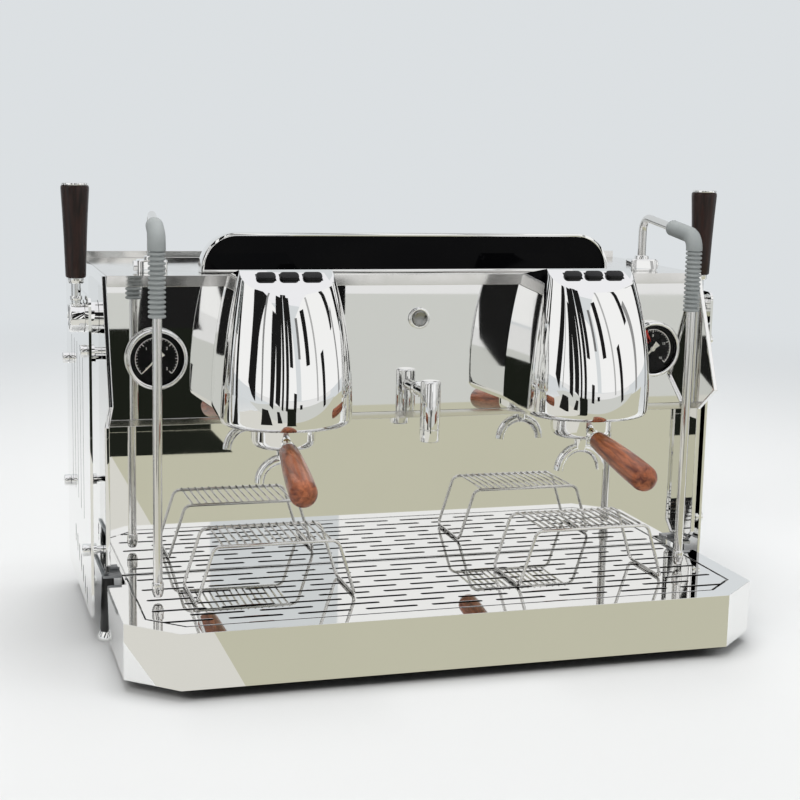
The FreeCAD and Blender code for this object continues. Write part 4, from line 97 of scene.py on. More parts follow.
def new_group(name, colours, others, kind):
    """A node group that gives a colour, a roughness and a height, with its two end nodes."""
    group = bpy.data.node_groups.new(name, "ShaderNodeTree")
    add = group.interface.new_socket
    for label in colours:
        add(label, in_out="INPUT", socket_type="NodeSocketColor")
    for label in others:
        add(label, in_out="INPUT", socket_type="NodeSocket" + kind)
    add("Color", in_out="OUTPUT", socket_type="NodeSocketColor")
    for label in ("Roughness", "Height"):
        add(label, in_out="OUTPUT", socket_type="NodeSocketFloat")
    return group, group.nodes.new("NodeGroupInput"), group.nodes.new("NodeGroupOutput")


def lead_to_shader(tree, skin, shader, relief, depth):
    """Lead a group's colour, roughness and height to the shader."""
    wire(tree, skin, "Color", shader, "Base Color")
    wire(tree, skin, "Roughness", shader, "Roughness")
    if relief:
        bump = made(tree, "Bump", {"Strength": relief, "Distance": depth})
        wire(tree, skin, "Height", bump, "Height")
        wire(tree, bump, "Normal", shader, "Normal")


def handled_surface():
    """Node group: a finish that varies in small patches, as metal does once it's handled."""
    numbers = ("Smooth", "Rough", "Patch Size", "Amount")
    group, inputs, outputs = new_group("handled surface", ("Clean", "Handled"), numbers, "Float")
    place = made(group, "TexCoord")
    patches = made(group, "TexNoise", {"Detail": 5, "Roughness": 0.62})
    spread = made(group, "MapRange", {"From Min": 0.38, "From Max": 0.7})
    share = made(group, "Math", operation="MULTIPLY")
    tint = made(group, "Mix", data_type="RGBA")
    gloss = made(group, "MapRange")
    wire(group, place, "Object", patches, "Vector")
    wire(group, inputs, "Patch Size", patches, "Scale")
    wire(group, patches, "Fac", spread, "Value")
    wire(group, spread, "Result", share, 0)
    wire(group, inputs, "Amount", share, 1)
    wire(group, share, 0, tint, "Factor")
    wire(group, inputs, "Clean", tint, "A")
    wire(group, inputs, "Handled", tint, "B")
    wire(group, spread, "Result", gloss, "Value")
    wire(group, inputs, "Smooth", gloss, "To Min")
    wire(group, inputs, "Rough", gloss, "To Max")
    wire(group, tint, "Result", outputs, "Color")
    wire(group, gloss, "Result", outputs, "Roughness")
    wire(group, patches, "Fac", outputs, "Height")
    return group


handled = handled_surface()


def surface(name, clean, used, smooth, rough, patch=12, amount=0.6, metal=1.0, relief=0, shine=0.5):
    """A material on the shared handled surface, with its own colours and gloss."""
    values = {"Metallic": metal, "Specular IOR Level": shine}
    material, tree, shader = new_material(name, values)
    values = {
        "Clean": (*clean, 1), "Handled": (*used, 1), "Smooth": smooth, "Rough": rough,
        "Patch Size": patch, "Amount": amount,
    }
    skin = made(tree, "Group", values, node_tree=handled)
    lead_to_shader(tree, skin, shader, relief, 0.0004)
    return material


def wear_only(node, material):
    """Show a CAD node's own mesh with a finish."""
    nodes[node].data.materials.clear()
    nodes[node].data.materials.append(material)


zinc = surface("zinc plate", (0.42, 0.43, 0.44), (0.30, 0.31, 0.32), 0.32, 0.5, patch=30)
for node in ("base_frame", "frame_posts", "control_box"):
    wear_only(node, zinc)

# Boilers and pump.
# Steam boiler and two brew boilers of welded stainless steel, a rotary pump of turned brass
# on a ribbed black motor, and the copper pipes between them. All closed in by the covers.

boiler_steel = surface(
    "brushed boiler", (0.55, 0.55, 0.54), (0.42, 0.41, 0.39), 0.22, 0.42, patch=9
)
wear_only("steam_boiler", boiler_steel)
wear_only("brew_boilers", boiler_steel)
brass = surface("machined brass", (0.66, 0.47, 0.20), (0.45, 0.30, 0.12), 0.2, 0.4, patch=25)
for node in ("pump", "group_heads", "rear_fittings"):
    wear_only(node, brass)
motor_paint = surface("motor paint", (0.02, 0.02, 0.022), (0.05, 0.05, 0.05), 0.4, 0.6, metal=0)
wear_only("pump_motor", motor_paint)
copper = surface("copper pipe", (0.70, 0.33, 0.19), (0.42, 0.19, 0.11), 0.18, 0.4, patch=20)
wear_only("pipework", copper)

# Side panels and trims.
# Each side is a pan folded from 2 mm sheet, with a nose over the gauges, and a thick outer
# plate on eight standoffs, milled with grooves and a rising row of vent slots. All of it is
# mirror-polished, and the cut edges are broken, so that they catch a bright line.


def settle():
    """Apply the place, turn and size of what is selected to its mesh."""
    bpy.ops.object.transform_apply(location=True, rotation=True, scale=True)


def edit_mode():
    """Go into edit mode."""
    bpy.ops.object.mode_set(mode="EDIT")


def object_mode():
    """Leave edit mode."""
    bpy.ops.object.mode_set(mode="OBJECT")


def select_mesh(action="SELECT"):
    """Select all of the mesh in edit mode, or none of it."""
    bpy.ops.mesh.select_all(action=action)


def soften(angle):
    """Shade what is selected smooth, but keep edges steeper than an angle sharp."""
    bpy.ops.object.shade_smooth_by_angle(angle=math.radians(angle))


def select_only(piece):
    """Leave one object selected and active."""
    bpy.ops.object.select_all(action="DESELECT")
    piece.select_set(True)
    bpy.context.view_layer.objects.active = piece


def placed(piece, spot, turn=(0, 0, 0)):
    """Set a piece at its place and turn for good."""
    select_only(piece)
    piece.rotation_euler = turn
    piece.location = spot
    settle()


def modified(piece, kind, **settings):
    """Add a modifier with its settings and apply it."""
    select_only(piece)
    change = piece.modifiers.new("change", kind)
    for name, value in settings.items():
        setattr(change, name, value)
    bpy.ops.object.modifier_apply(modifier=change.name)


def broken_edges(piece, width, steps, angle):
    """Break a piece's sharp edges."""
    modified(piece, "BEVEL", width=width, segments=steps, angle_limit=math.radians(angle))


def flat_kept(piece, angle):
    """Shade smooth across soft edges, and keep the large flat faces flat."""
    select_only(piece)
    soften(angle)
    modified(piece, "WEIGHTED_NORMAL", keep_sharp=True, weight=100)
    return piece


def copied_sheet(node, name, body, edge):
    """A sheet piece from its CAD mesh: merged, cleared to flat faces, cut edges broken."""
    sheet = nodes[node].copy()
    sheet.data = nodes[node].data.copy()
    del sheet["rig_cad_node"]
    bpy.context.scene.collection.objects.link(sheet)
    sheet.name = name
    select_only(sheet)
    edit_mode()
    select_mesh()
    bpy.ops.mesh.remove_doubles(threshold=0.00001)
    bpy.ops.mesh.dissolve_limited(angle_limit=math.radians(0.6))
    object_mode()
    broken_edges(sheet, edge, 2, 40)
    flat_kept(sheet, 35)
    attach(sheet, body)
    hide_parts(node)
    return sheet


def dress(piece, material):
    """Give a piece its one material."""
    piece.data.materials.clear()
    piece.data.materials.append(material)
    return piece


mirror_finish = ((0.90, 0.90, 0.89), (0.87, 0.87, 0.86), 0.008, 0.035, 7, 0.5)
mirror = surface("mirror polish", *mirror_finish)
steel = surface("polished steel", (0.80, 0.79, 0.77), (0.72, 0.71, 0.68), 0.07, 0.16, patch=14)
dress(copied_sheet("side_panels", "folded_side_panels", "machine", 0.0006), mirror)
dress(copied_sheet("side_trims", "grooved_side_trims", "machine", 0.0006), mirror)


def profile_path(points):
    """A chain of edges through the points, drawn by extruding one vertex."""
    bpy.ops.mesh.primitive_plane_add(size=0.01)
    edit_mode()
    bpy.ops.mesh.select_mode(type="VERT")
    bpy.ops.mesh.merge(type="CENTER")
    bpy.ops.transform.translate(value=points[0])
    for start, end in zip(points, points[1:]):
        step = Vector(end) - Vector(start)
        bpy.ops.mesh.extrude_region_move(TRANSFORM_OT_translate={"value": step})
    return bpy.context.object


def close_mesh():
    """Merge what meets, turn the faces outwards and leave edit mode."""
    select_mesh()
    bpy.ops.mesh.remove_doubles(threshold=0.000002)
    bpy.ops.mesh.normals_make_consistent(inside=False)
    object_mode()


def turned(name, profile, spot, tilt=(0, 0, 0), steps=64, crease=32):
    """Turn a profile of (radius, height) pairs on a lathe, then set it at its place."""
    piece = profile_path([(radius, 0, height) for radius, height in profile])
    piece.name = name
    select_mesh()
    bpy.ops.mesh.spin(steps=steps, angle=math.tau, center=(0, 0, 0), axis=(0, 0, 1))
    close_mesh()
    placed(piece, spot, tilt)
    soften(crease)
    return piece


def joined(name, pieces):
    """Join like pieces into one object."""
    bpy.ops.object.select_all(action="DESELECT")
    for piece in pieces:
        piece.select_set(True)
    bpy.context.view_layer.objects.active = pieces[0]
    bpy.ops.object.join()
    pieces[0].name = name
    return pieces[0]


def given_to(piece, body, *cad_nodes):
    """Let a piece ride on its body in place of CAD nodes."""
    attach(piece, body)
    if cad_nodes:
        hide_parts(*cad_nodes)
    return piece


def chromed(piece, body, *cad_nodes):
    """Let a piece of mirror-polished metal ride on its body in place of CAD nodes."""
    return dress(given_to(piece, body, *cad_nodes), mirror)


low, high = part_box("standoffs")
trim_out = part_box("side_trims")[1].x
panel_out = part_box("side_panels")[1].x
cap_profile = [
    (0, 0), (0.0069, 0), (0.0069, 0.0062), (0.0064, 0.0074), (0.0052, 0.008), (0, 0.0082),
]
post_profile = [
    (0, 0), (0.0039, 0), (0.0039, 0.0075), (0.0069, 0.0075), (0.0069, 0.0115), (0, 0.0115),
]
front_posts = (low.y + 0.007, (0.330, 0.106))
rear_posts = (high.y - 0.007, (0.292, 0.138))
stand_posts = []
for side in (-1, 1):
    outwards = (0, side * math.pi / 2, 0)
    for y, levels in (front_posts, rear_posts):
        for z in levels:
            cap_spot = (side * (trim_out + 0.0003), y, z)
            post_spot = (side * (panel_out + 0.0003), y, z)
            stand_posts.append(turned("cap", cap_profile, cap_spot, outwards, steps=32))
            stand_posts.append(turned("post", post_profile, post_spot, outwards, steps=24))
stand_posts = joined("trim_standoffs", stand_posts)
chromed(stand_posts, "machine", "standoffs")

# Polished wall and top.
# Upper and lower panels of mirror-polished sheet behind the groups, parted by a flat rail,
# and a folded top with a front flange and a low rail along its rear edge. The panels have
# openings for the gauges, the group necks, the switch and the hot water arm.

for node in ("upper_back_panel", "lower_back_panel"):
    wear_only(node, mirror)
dress(copied_sheet("back_rail", "polished_back_rail", "machine", 0.0006), steel)
dress(copied_sheet("top_cover", "folded_top", "machine", 0.0008), steel)
dress(copied_sheet("rear_cover", "vented_rear_cover", "machine", 0.0004), steel)

# Display hood.
# A long black gloss panel with large round upper corners, let into a chrome frame that
# stands on the top behind the covers. The frame is a bent flat strip, 3.5 mm thick.


def brick(spot, size, turn=(0, 0, 0)):
    """A plain block of a given size."""
    bpy.ops.mesh.primitive_cube_add(size=1, location=spot, rotation=turn)
    block = bpy.context.object
    block.scale = size
    settle()
    return block


def carve(piece, tool):
    """Take one closed mesh out of another and remove it."""
    modified(piece, "BOOLEAN", object=tool, operation="DIFFERENCE")
    bpy.data.objects.remove(tool, do_unlink=True)


def round_edges(piece, wanted, radius, steps):
    """Round the edges that a test picks out by their two ends."""
    select_only(piece)
    edit_mode()
    bpy.ops.mesh.select_mode(type="EDGE")
    select_mesh("DESELECT")
    object_mode()
    for edge in piece.data.edges:
        start, end = [piece.data.vertices[number].co for number in edge.vertices]
        edge.select = wanted(start, end)
    edit_mode()
    bpy.ops.mesh.bevel(offset=radius, segments=steps, affect="EDGES", clamp_overlap=False)
    select_mesh("DESELECT")
    bpy.ops.mesh.select_mode(type="FACE")
    object_mode()


def arched_block(name, bottom, top, corner):
    """A block between two corners with its two upper edges rounded."""
    block = brick((bottom + top) / 2, top - bottom)
    block.name = name
    lower = top.z - 0.001
    round_edges(block, lambda a, b: min(a.z, b.z) > lower and abs(a.y - b.y) > 0.001, corner, 18)
    return block


strip_thickness = 0.0035
hood_corner = 0.041
rim_bottom, rim_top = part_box("hood_rim")
hood_frame = arched_block("hood_chrome_frame", rim_bottom, rim_top, hood_corner)
inset = Vector((strip_thickness, -0.01, strip_thickness))
inner_corner = hood_corner - strip_thickness
carve(hood_frame, arched_block("opening", rim_bottom + inset, rim_top - inset, inner_corner))
broken_edges(hood_frame, 0.0006, 2, 50)
soften(40)
chromed(hood_frame, "machine", "hood_rim")

black_gloss = surface(
    "black gloss", (0.0015, 0.0015, 0.002), (0.004, 0.004, 0.004), 0.02, 0.06, metal=0, shine=0.05
)
hood_panel = arched_block("hood_black_panel", *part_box("hood_face"), inner_corner - 0.0003)
soften(40)
dress(given_to(hood_panel, "machine", "hood_face"), black_gloss)

# Drip tray, grate and drain.
# A wide tray folded and welded from mirror-polished sheet, its front corners cut off, with
# a ledge that carries a laser-cut grate with staggered rows of slots. Under its outlet
# hangs a black moulded cup with a hose barb.


def shade_painted_inside(material, high_corner, low_corner):
    """Dull and darken a metal between two corners: painted shade where the grate keeps out the
    light.
    """
    tree = material.node_tree
    shader = tree.nodes["Principled BSDF"]
    place = made(tree, "TexCoord")
    centre = (Vector(high_corner) + Vector(low_corner)) / 2
    offset = made(tree, "VectorMath", {1: centre}, operation="SUBTRACT")
    spread = made(tree, "VectorMath", operation="ABSOLUTE")
    axes = made(tree, "SeparateXYZ")
    wire(tree, place, "Object", offset, 0)
    wire(tree, offset, "Vector", spread, 0)
    wire(tree, spread, "Vector", axes, 0)
    inside = None
    for axis, reach in zip("XYZ", (Vector(high_corner) - Vector(low_corner)) / 2):
        within = made(tree, "Math", {1: reach}, operation="LESS_THAN")
        wire(tree, axes, axis, within, 0)
        if inside:
            both = made(tree, "Math", operation="MULTIPLY")
            wire(tree, inside, 0, both, 0)
            wire(tree, within, 0, both, 1)
            inside = both
        else:
            inside = within
    # Painted shade: near-black, rougher metal inside the box.
    painted_shade = (("Base Color", "RGBA", (0.03, 0.028, 0.025, 1)), ("Roughness", "FLOAT", 0.42))
    for socket, kind, value in painted_shade:
        blend = made(tree, "Mix", {"B": value}, data_type=kind)
        wire(tree, inside, 0, blend, "Factor")
        tree.links.new(shader.inputs[socket].links[0].from_socket, blend.inputs["A"])
        wire(tree, blend, "Result", shader, socket)


tray_polish = surface("tray polish", *mirror_finish)
# The basin under the grate is darkened with painted shade.
shade_painted_inside(tray_polish, (0.334, 0.0, 0.0697), (-0.334, -0.1852, 0.0385))
dress(copied_sheet("drip_tray", "polished_tray", "drip_tray", 0.0009), tray_polish)
grate_polish = surface("grate polish", *mirror_finish)
# The grate's slot walls and underside are darkened with painted shade, so the slots read black.
shade_painted_inside(grate_polish, (0.3335, 0.0045, 0.07185), (-0.3335, -0.1875, 0.069))
slot_length = 0.058
slot_width = 0.0058
slot_pitch = 0.074
row_pitch = 0.0198
first_row = 0.0175
grate_low, grate_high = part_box("drip_grate")
plate_corners = [vertex.co for vertex in nodes["drip_grate"].data.vertices]
front_half = max(abs(spot.x) for spot in plate_corners if spot.y < grate_low.y + 0.0001)
corner_back = min(spot.y for spot in plate_corners if abs(spot.x) > grate_high.x - 0.0001)
plate_outline = [
    (-front_half, grate_low.y, grate_low.z), (front_half, grate_low.y, grate_low.z),
    (grate_high.x, corner_back, grate_low.z), (grate_high.x, grate_high.y, grate_low.z),
    (-grate_high.x, grate_high.y, grate_low.z), (-grate_high.x, corner_back, grate_low.z),
]
grate = profile_path(plate_outline)
select_mesh()
bpy.ops.mesh.edge_face_add()
grate_rise = (0, 0, grate_high.z - grate_low.z)
bpy.ops.mesh.extrude_region_move(TRANSFORM_OT_translate={"value": grate_rise})
select_mesh()
bpy.ops.mesh.normals_make_consistent(inside=False)
object_mode()
grate.name = "slotted_grate"
slot_rows = []
for rows, across, first in ((5, 9, -4 * slot_pitch), (4, 8, -3.5 * slot_pitch)):
    back = grate_high.y - first_row - (0 if rows == 5 else row_pitch)
    first_slot = (first, back, (grate_low.z + grate_high.z) / 2)
    slots = brick(first_slot, (slot_length, slot_width, 0.02))
    round_edges(slots, lambda a, b: abs(a.z - b.z) > 0.01, slot_width * 0.49, 5)
    for number, step, shift in ((across, slot_pitch, 0), (rows, 0, -2 * row_pitch)):
        modified(
            slots, "ARRAY", use_relative_offset=False, use_constant_offset=True,
            constant_offset_displace=(step, shift, 0), count=number,
        )
    slot_rows.append(slots)
carve(grate, joined("grate_slots", slot_rows))
broken_edges(grate, 0.0002, 1, 50)
flat_kept(grate, 35)
dress(given_to(grate, "drip_grate", "drip_grate"), grate_polish)
black_plastic = surface(
    "black moulding", (0.012, 0.012, 0.012), (0.03, 0.03, 0.03), 0.35, 0.5, metal=0
)
wear_only("drain_cup", black_plastic)

# Feet.
# Four tapered black feet under the deck's corners, each screwed into a chrome cup that
# stands on the counter.

foot_x = 0.355
foot_rows = (0.006, 0.232)
cone_low, cone_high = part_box("foot_cones")
cup_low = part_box("foot_cups")[0]
cone_height = cone_high.z - cone_low.z
cone_profile = [
    (0, 0), (0.0088, 0), (0.009, 0.0006), (0.0066, cone_height - 0.0008), (0.0062, cone_height),
    (0, cone_height),
]
cup_profile = [
    (0, 0), (0.0112, 0), (0.012, 0.0008), (0.012, 0.0052), (0.0093, 0.0108), (0.0088, 0.011),
    (0, 0.011),
]
cones = []
cups = []
for side in (-1, 1):
    for y in foot_rows:
        cones.append(turned("cone", cone_profile, (side * foot_x, y, cone_low.z), steps=40))
        cups.append(turned("cup", cup_profile, (side * foot_x, y, cup_low.z), steps=40))
dress(given_to(joined("black_feet", cones), "machine", "foot_cones"), black_plastic)
chromed(joined("chrome_foot_cups", cups), "machine", "foot_cups")

# Group covers.
# One tapered shell over each group, drawn from sheet and mirror-polished: a broad round
# nose, a steep facet in front of its crest with three openings for the brew keys, a roof
# that falls back to the top's front edge, and a thick rounded foot.


def bar(sides, radius, length, spot, turn=(0, 0, 0)):
    """A plain bar with a given number of sides."""
    bpy.ops.mesh.primitive_cylinder_add(
        vertices=sides, radius=radius, depth=length, location=spot, rotation=turn
    )
    return bpy.context.object


def box_cut(piece, low_corner, high_corner):
    """Cut a block-shaped room out of a piece."""
    low_corner, high_corner = Vector(low_corner), Vector(high_corner)
    carve(piece, brick((low_corner + high_corner) / 2, high_corner - low_corner))


def pick(piece, wanted):
    """Select the vertices that a test picks out, and stay in edit mode."""
    select_only(piece)
    edit_mode()
    bpy.ops.mesh.select_mode(type="VERT")
    select_mesh("DESELECT")
    object_mode()
    for vertex in piece.data.vertices:
        vertex.select = wanted(vertex.co)
    edit_mode()


cover_foot = 0.261
cover_crest = (-0.089, 0.4265)
cover_rings = 24
ring_rise = 0.001
rolled_foot = 0.010
nose_steps = 20
corner_steps = 18
tail_steps = 6
tail_taper = 0.009
tail_end = 0.02
key_tilt = math.radians(33.5)
roof_fall = (cover_crest[1] - 0.4133) / 0.0837
cover_wall = 0.0025
group_y = -0.085
group_x = 0.175
cover_plans = (
    (0.261, 0.0715, 0.157, 0.080, 0.058),
    (0.365, 0.0640, 0.141, 0.105, 0.038),
    (0.430, 0.0495, 0.108, 0.140, 0.014),
)


def cover_plan(half, front, nose, corner):
    """One side of a cover's plan, from the middle of its nose to the wall."""
    middle = nose - front
    inner = half - corner
    drop = math.sqrt((nose - corner) ** 2 - inner ** 2)
    lean = math.atan2(drop, inner)
    points = []
    for step in range(nose_steps + 1):
        turn = -math.pi / 2 + (math.pi / 2 - lean) * step / nose_steps
        points.append((nose * math.cos(turn), middle + nose * math.sin(turn)))
    run = middle - drop
    for step in range(1, corner_steps + 1):
        turn = -lean + lean * step / corner_steps
        points.append((inner + corner * math.cos(turn), run + corner * math.sin(turn)))
    for step in range(1, tail_steps + 1):
        along = run + (tail_end - run) * step / tail_steps
        points.append((half - tail_taper * step / tail_steps, along))
    return points


def drawn_block(name, middle, inset):
    """The cover's outer form or, with an inset, its hollow, raised in even rings."""
    levels = [plan[0] for plan in cover_plans]
    plans = [cover_plan(*[size - inset for size in plan[1:]]) for plan in cover_plans]
    count = len(plans[0])
    ridge = cover_crest[1] - inset / math.cos(key_tilt)

    def plan_point(number, level):
        spot = Vector((0, 0))
        for own, plan in enumerate(plans):
            share = 1
            for other in range(3):
                if other != own:
                    share *= (level - levels[other]) / (levels[own] - levels[other])
            spot += Vector(plan[number]) * share
        return spot

    tops = []
    for number in range(count):
        level = ridge
        for step in range(40):
            y = plan_point(number, level).y - cover_crest[0]
            level = ridge + (y * math.tan(key_tilt) if y < 0 else -y * roof_fall)
        tops.append(level)
    start = [(-x, y) for x, y in reversed(plans[0][1:])] + plans[0]
    block = profile_path([(x + middle, y, cover_foot) for x, y in start])
    block.name = name
    select_mesh()
    bpy.ops.mesh.edge_face_add()
    first_ring = cover_foot + rolled_foot
    for step in range(cover_rings):
        bpy.ops.mesh.extrude_region_move(TRANSFORM_OT_translate={"value": (0, 0, ring_rise)})
    object_mode()
    for vertex in block.data.vertices:
        across = vertex.co.x - middle
        side = -1 if across < 0 else 1
        offsets = [abs(x - abs(across)) + abs(y - vertex.co.y) for x, y in plans[0]]
        number = offsets.index(min(offsets))
        ring = round((vertex.co.z - cover_foot) / ring_rise)
        level = cover_foot
        if ring:
            level = first_ring + (tops[number] - first_ring) * (ring - 1) / (cover_rings - 1)
        spot = plan_point(number, level)
        vertex.co = (middle + side * spot.x, spot.y, level)
        if ring == cover_rings and number == nose_steps + corner_steps:
            vertex.co.y = cover_crest[0]
            vertex.co.z = ridge
    crest = Vector((cover_crest[0], ridge))
    pick(block, lambda spot: (spot.yz - crest).length < 0.00001)
    bpy.ops.mesh.vert_connect()
    select_mesh()
    bpy.ops.mesh.normals_make_consistent(inside=False)
    object_mode()
    return block


def on_facet(spot):
    """Tell whether a point lies on the facet in front of the crest."""
    fall = (spot.y - cover_crest[0]) * math.tan(key_tilt)
    return abs(spot.z - cover_crest[1] - fall) < 0.00005


seam = 0.0003
step_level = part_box("top_cover")[0].z - seam
step_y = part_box("top_cover")[0].y - seam
key_y = -0.100
key_spot = Vector((0, key_y, cover_crest[1] + (key_y - cover_crest[0]) * math.tan(key_tilt)))
key_normal = Vector((0, -math.sin(key_tilt), math.cos(key_tilt)))
key_size = Vector((0.0205, 0.011, 0.0126))
key_play = 0.0004
key_rise = 0.0036
mouth_radius = 0.0473
foot_rounding = 0.008
brow_rounding = 0.0013
cutter_half = 0.08
covers = []
for side, word in SIDES:
    middle = side * group_x
    shell = drawn_block(word + "_shell", middle, 0)
    foot = lambda a, b: max(a.z, b.z) < cover_foot + 0.0001 and min(a.y, b.y) < 0.0195
    round_edges(shell, foot, foot_rounding, 8)
    brow = lambda a, b: on_facet(a) and on_facet(b) and min(a.y, b.y) < cover_crest[0] - 0.00001
    round_edges(shell, brow, brow_rounding, 3)
    left, right = middle - cutter_half, middle + cutter_half
    box_cut(shell, (left, -seam, 0.2), (right, 0.1, 0.45))
    box_cut(shell, (left, step_y, step_level), (right, 0.1, 0.45))
    hollow = drawn_block("hollow", middle, cover_wall)
    box_cut(hollow, (left, -0.2, 0.25), (right, 0.1, 0.273))
    carve(shell, hollow)
    carve(shell, bar(96, mouth_radius, 0.03, (middle, group_y, 0.265)))
    for place in ("first", "second", "third"):
        low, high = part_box(word + "_" + place + "_key")
        spot = key_spot + Vector(((low.x + high.x) / 2, 0, 0))
        recess = key_size + Vector((key_play * 2, key_play * 2, 0))
        carve(shell, brick(spot, recess, (key_tilt, 0, 0)))
    covers.append(flat_kept(shell, 30))
cover_pair = joined("chrome_group_covers", covers)
chromed(cover_pair, "machine", "group_covers")

# Brew keys.
# Three black moulded keys in each facet, with rounded ends and a soft edge. Each slides on
# its stem square to the facet and springs back.

key_corner = 0.0044
key_edge = 0.0009
black_key = surface(
    "black key", (0.004, 0.004, 0.005), (0.012, 0.012, 0.012), 0.20, 0.32, 60, metal=0, shine=0.2
)
for side, word in SIDES:
    for place in ("first", "second", "third"):
        node = word + "_" + place + "_key"
        low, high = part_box(node)
        key = brick((0, 0, 0), key_size)
        key.name = word + "_" + place + "_moulded_key"
        round_edges(key, lambda a, b: abs(a.z - b.z) > 0.005, key_corner, 8)
        round_edges(key, lambda a, b: min(a.z, b.z) > key_size.z / 2 - 0.0001, key_edge, 4)
        across = Vector(((low.x + high.x) / 2, 0, 0))
        middle = key_spot + key_normal * (key_rise - key_size.z / 2) + across
        placed(key, middle, (key_tilt, 0, 0))
        soften(40)
        dress(given_to(key, node, node), black_key)

# Groups and portafilters.
# Bayonet group heads of cast brass with rubber gaskets and perforated screens. In each
# hangs a chromed portafilter with two lugs, a steel basket, a bent double spout and a
# turned handle of reddish hardwood, oiled, with a long grain.

black_rubber = surface("black rubber", (0.02, 0.02, 0.02), (0.05, 0.05, 0.05), 0.6, 0.8, metal=0)
wear_only("group_gaskets", black_rubber)
wear_only("shower_screens", steel)
wear_only("left_filter_basket", steel)
wear_only("right_filter_basket", steel)


def rounded(points, radii):
    """The points of a path whose inner corners are rounded to given radii."""
    path = [Vector(points[0])]
    for before, corner, after, radius in zip(points, points[1:], points[2:], radii):
        corner = Vector(corner)
        back = (Vector(before) - corner).normalized()
        ahead = (Vector(after) - corner).normalized()
        half = back.angle(ahead) / 2
        middle = corner + (back + ahead).normalized() * radius / math.sin(half)
        start = (corner + back * radius / math.tan(half) - middle).normalized()
        end = (corner + ahead * radius / math.tan(half) - middle).normalized()
        path += [middle + start.slerp(end, step / 14) * radius for step in range(15)]
    return path + [Vector(points[-1])]


def swept(radius, sides, capped):
    """Give the active chain of edges a round thickness."""
    bpy.ops.object.convert(target="CURVE")
    curve = bpy.context.object.data
    curve.bevel_depth = radius
    curve.bevel_resolution = sides
    curve.use_fill_caps = capped
    bpy.ops.object.convert(target="MESH")
    return bpy.context.object


def bent_tube(name, points, radius, sides=5):
    """A round bar or tube that follows a path."""
    profile_path(points)
    object_mode()
    tube = swept(radius, sides, True)
    tube.name = name
    edit_mode()
    close_mesh()
    soften(50)
    return tube


def wood_grain():
    """Node group: long dark pores and bands that run along one axis."""
    colours = ("Light", "Dark")
    group, inputs, outputs = new_group("wood grain", colours, ("Position",), "Vector")
    bands = made(group, "TexNoise", {"Scale": 1.0, "Detail": 4, "Distortion": 0.6})
    pores = made(group, "TexNoise", {"Scale": 6.0, "Detail": 3})
    steps = made(group, "MapRange", {"From Min": 0.32, "From Max": 0.68})
    lines = made(group, "MapRange", {"From Min": 0.52, "From Max": 0.62, "To Max": 0.6})
    both = made(group, "Math", operation="MAXIMUM")
    mix = made(group, "Mix", data_type="RGBA")
    gloss = made(group, "MapRange", {"To Min": 0.28, "To Max": 0.5})
    wire(group, inputs, "Position", bands, "Vector")
    wire(group, inputs, "Position", pores, "Vector")
    wire(group, bands, "Fac", steps, "Value")
    wire(group, pores, "Fac", lines, "Value")
    wire(group, steps, "Result", both, 0)
    wire(group, lines, "Result", both, 1)
    wire(group, both, 0, mix, "Factor")
    wire(group, inputs, "Light", mix, "A")
    wire(group, inputs, "Dark", mix, "B")
    wire(group, lines, "Result", gloss, "Value")
    wire(group, mix, "Result", outputs, "Color")
    wire(group, gloss, "Result", outputs, "Roughness")
    wire(group, lines, "Result", outputs, "Height")
    return group


grain = wood_grain()


def wood(name, light, dark, turn, stretch, coat):
    """A hardwood whose grain runs along the local Z of a turned mapping."""
    values = {"Coat Weight": coat, "Coat Roughness": 0.10, "Specular IOR Level": 0.2}
    material, tree, shader = new_material(name, values)
    place = made(tree, "TexCoord")
    values = {"Rotation": turn, "Scale": stretch}
    mapping = made(tree, "Mapping", values, vector_type="TEXTURE")
    skin = made(tree, "Group", {"Light": (*light, 1), "Dark": (*dark, 1)}, node_tree=grain)
    wire(tree, place, "Object", mapping, "Vector")
    wire(tree, mapping, "Vector", skin, "Position")
    lead_to_shader(tree, skin, shader, 0.25, 0.0003)
    return material


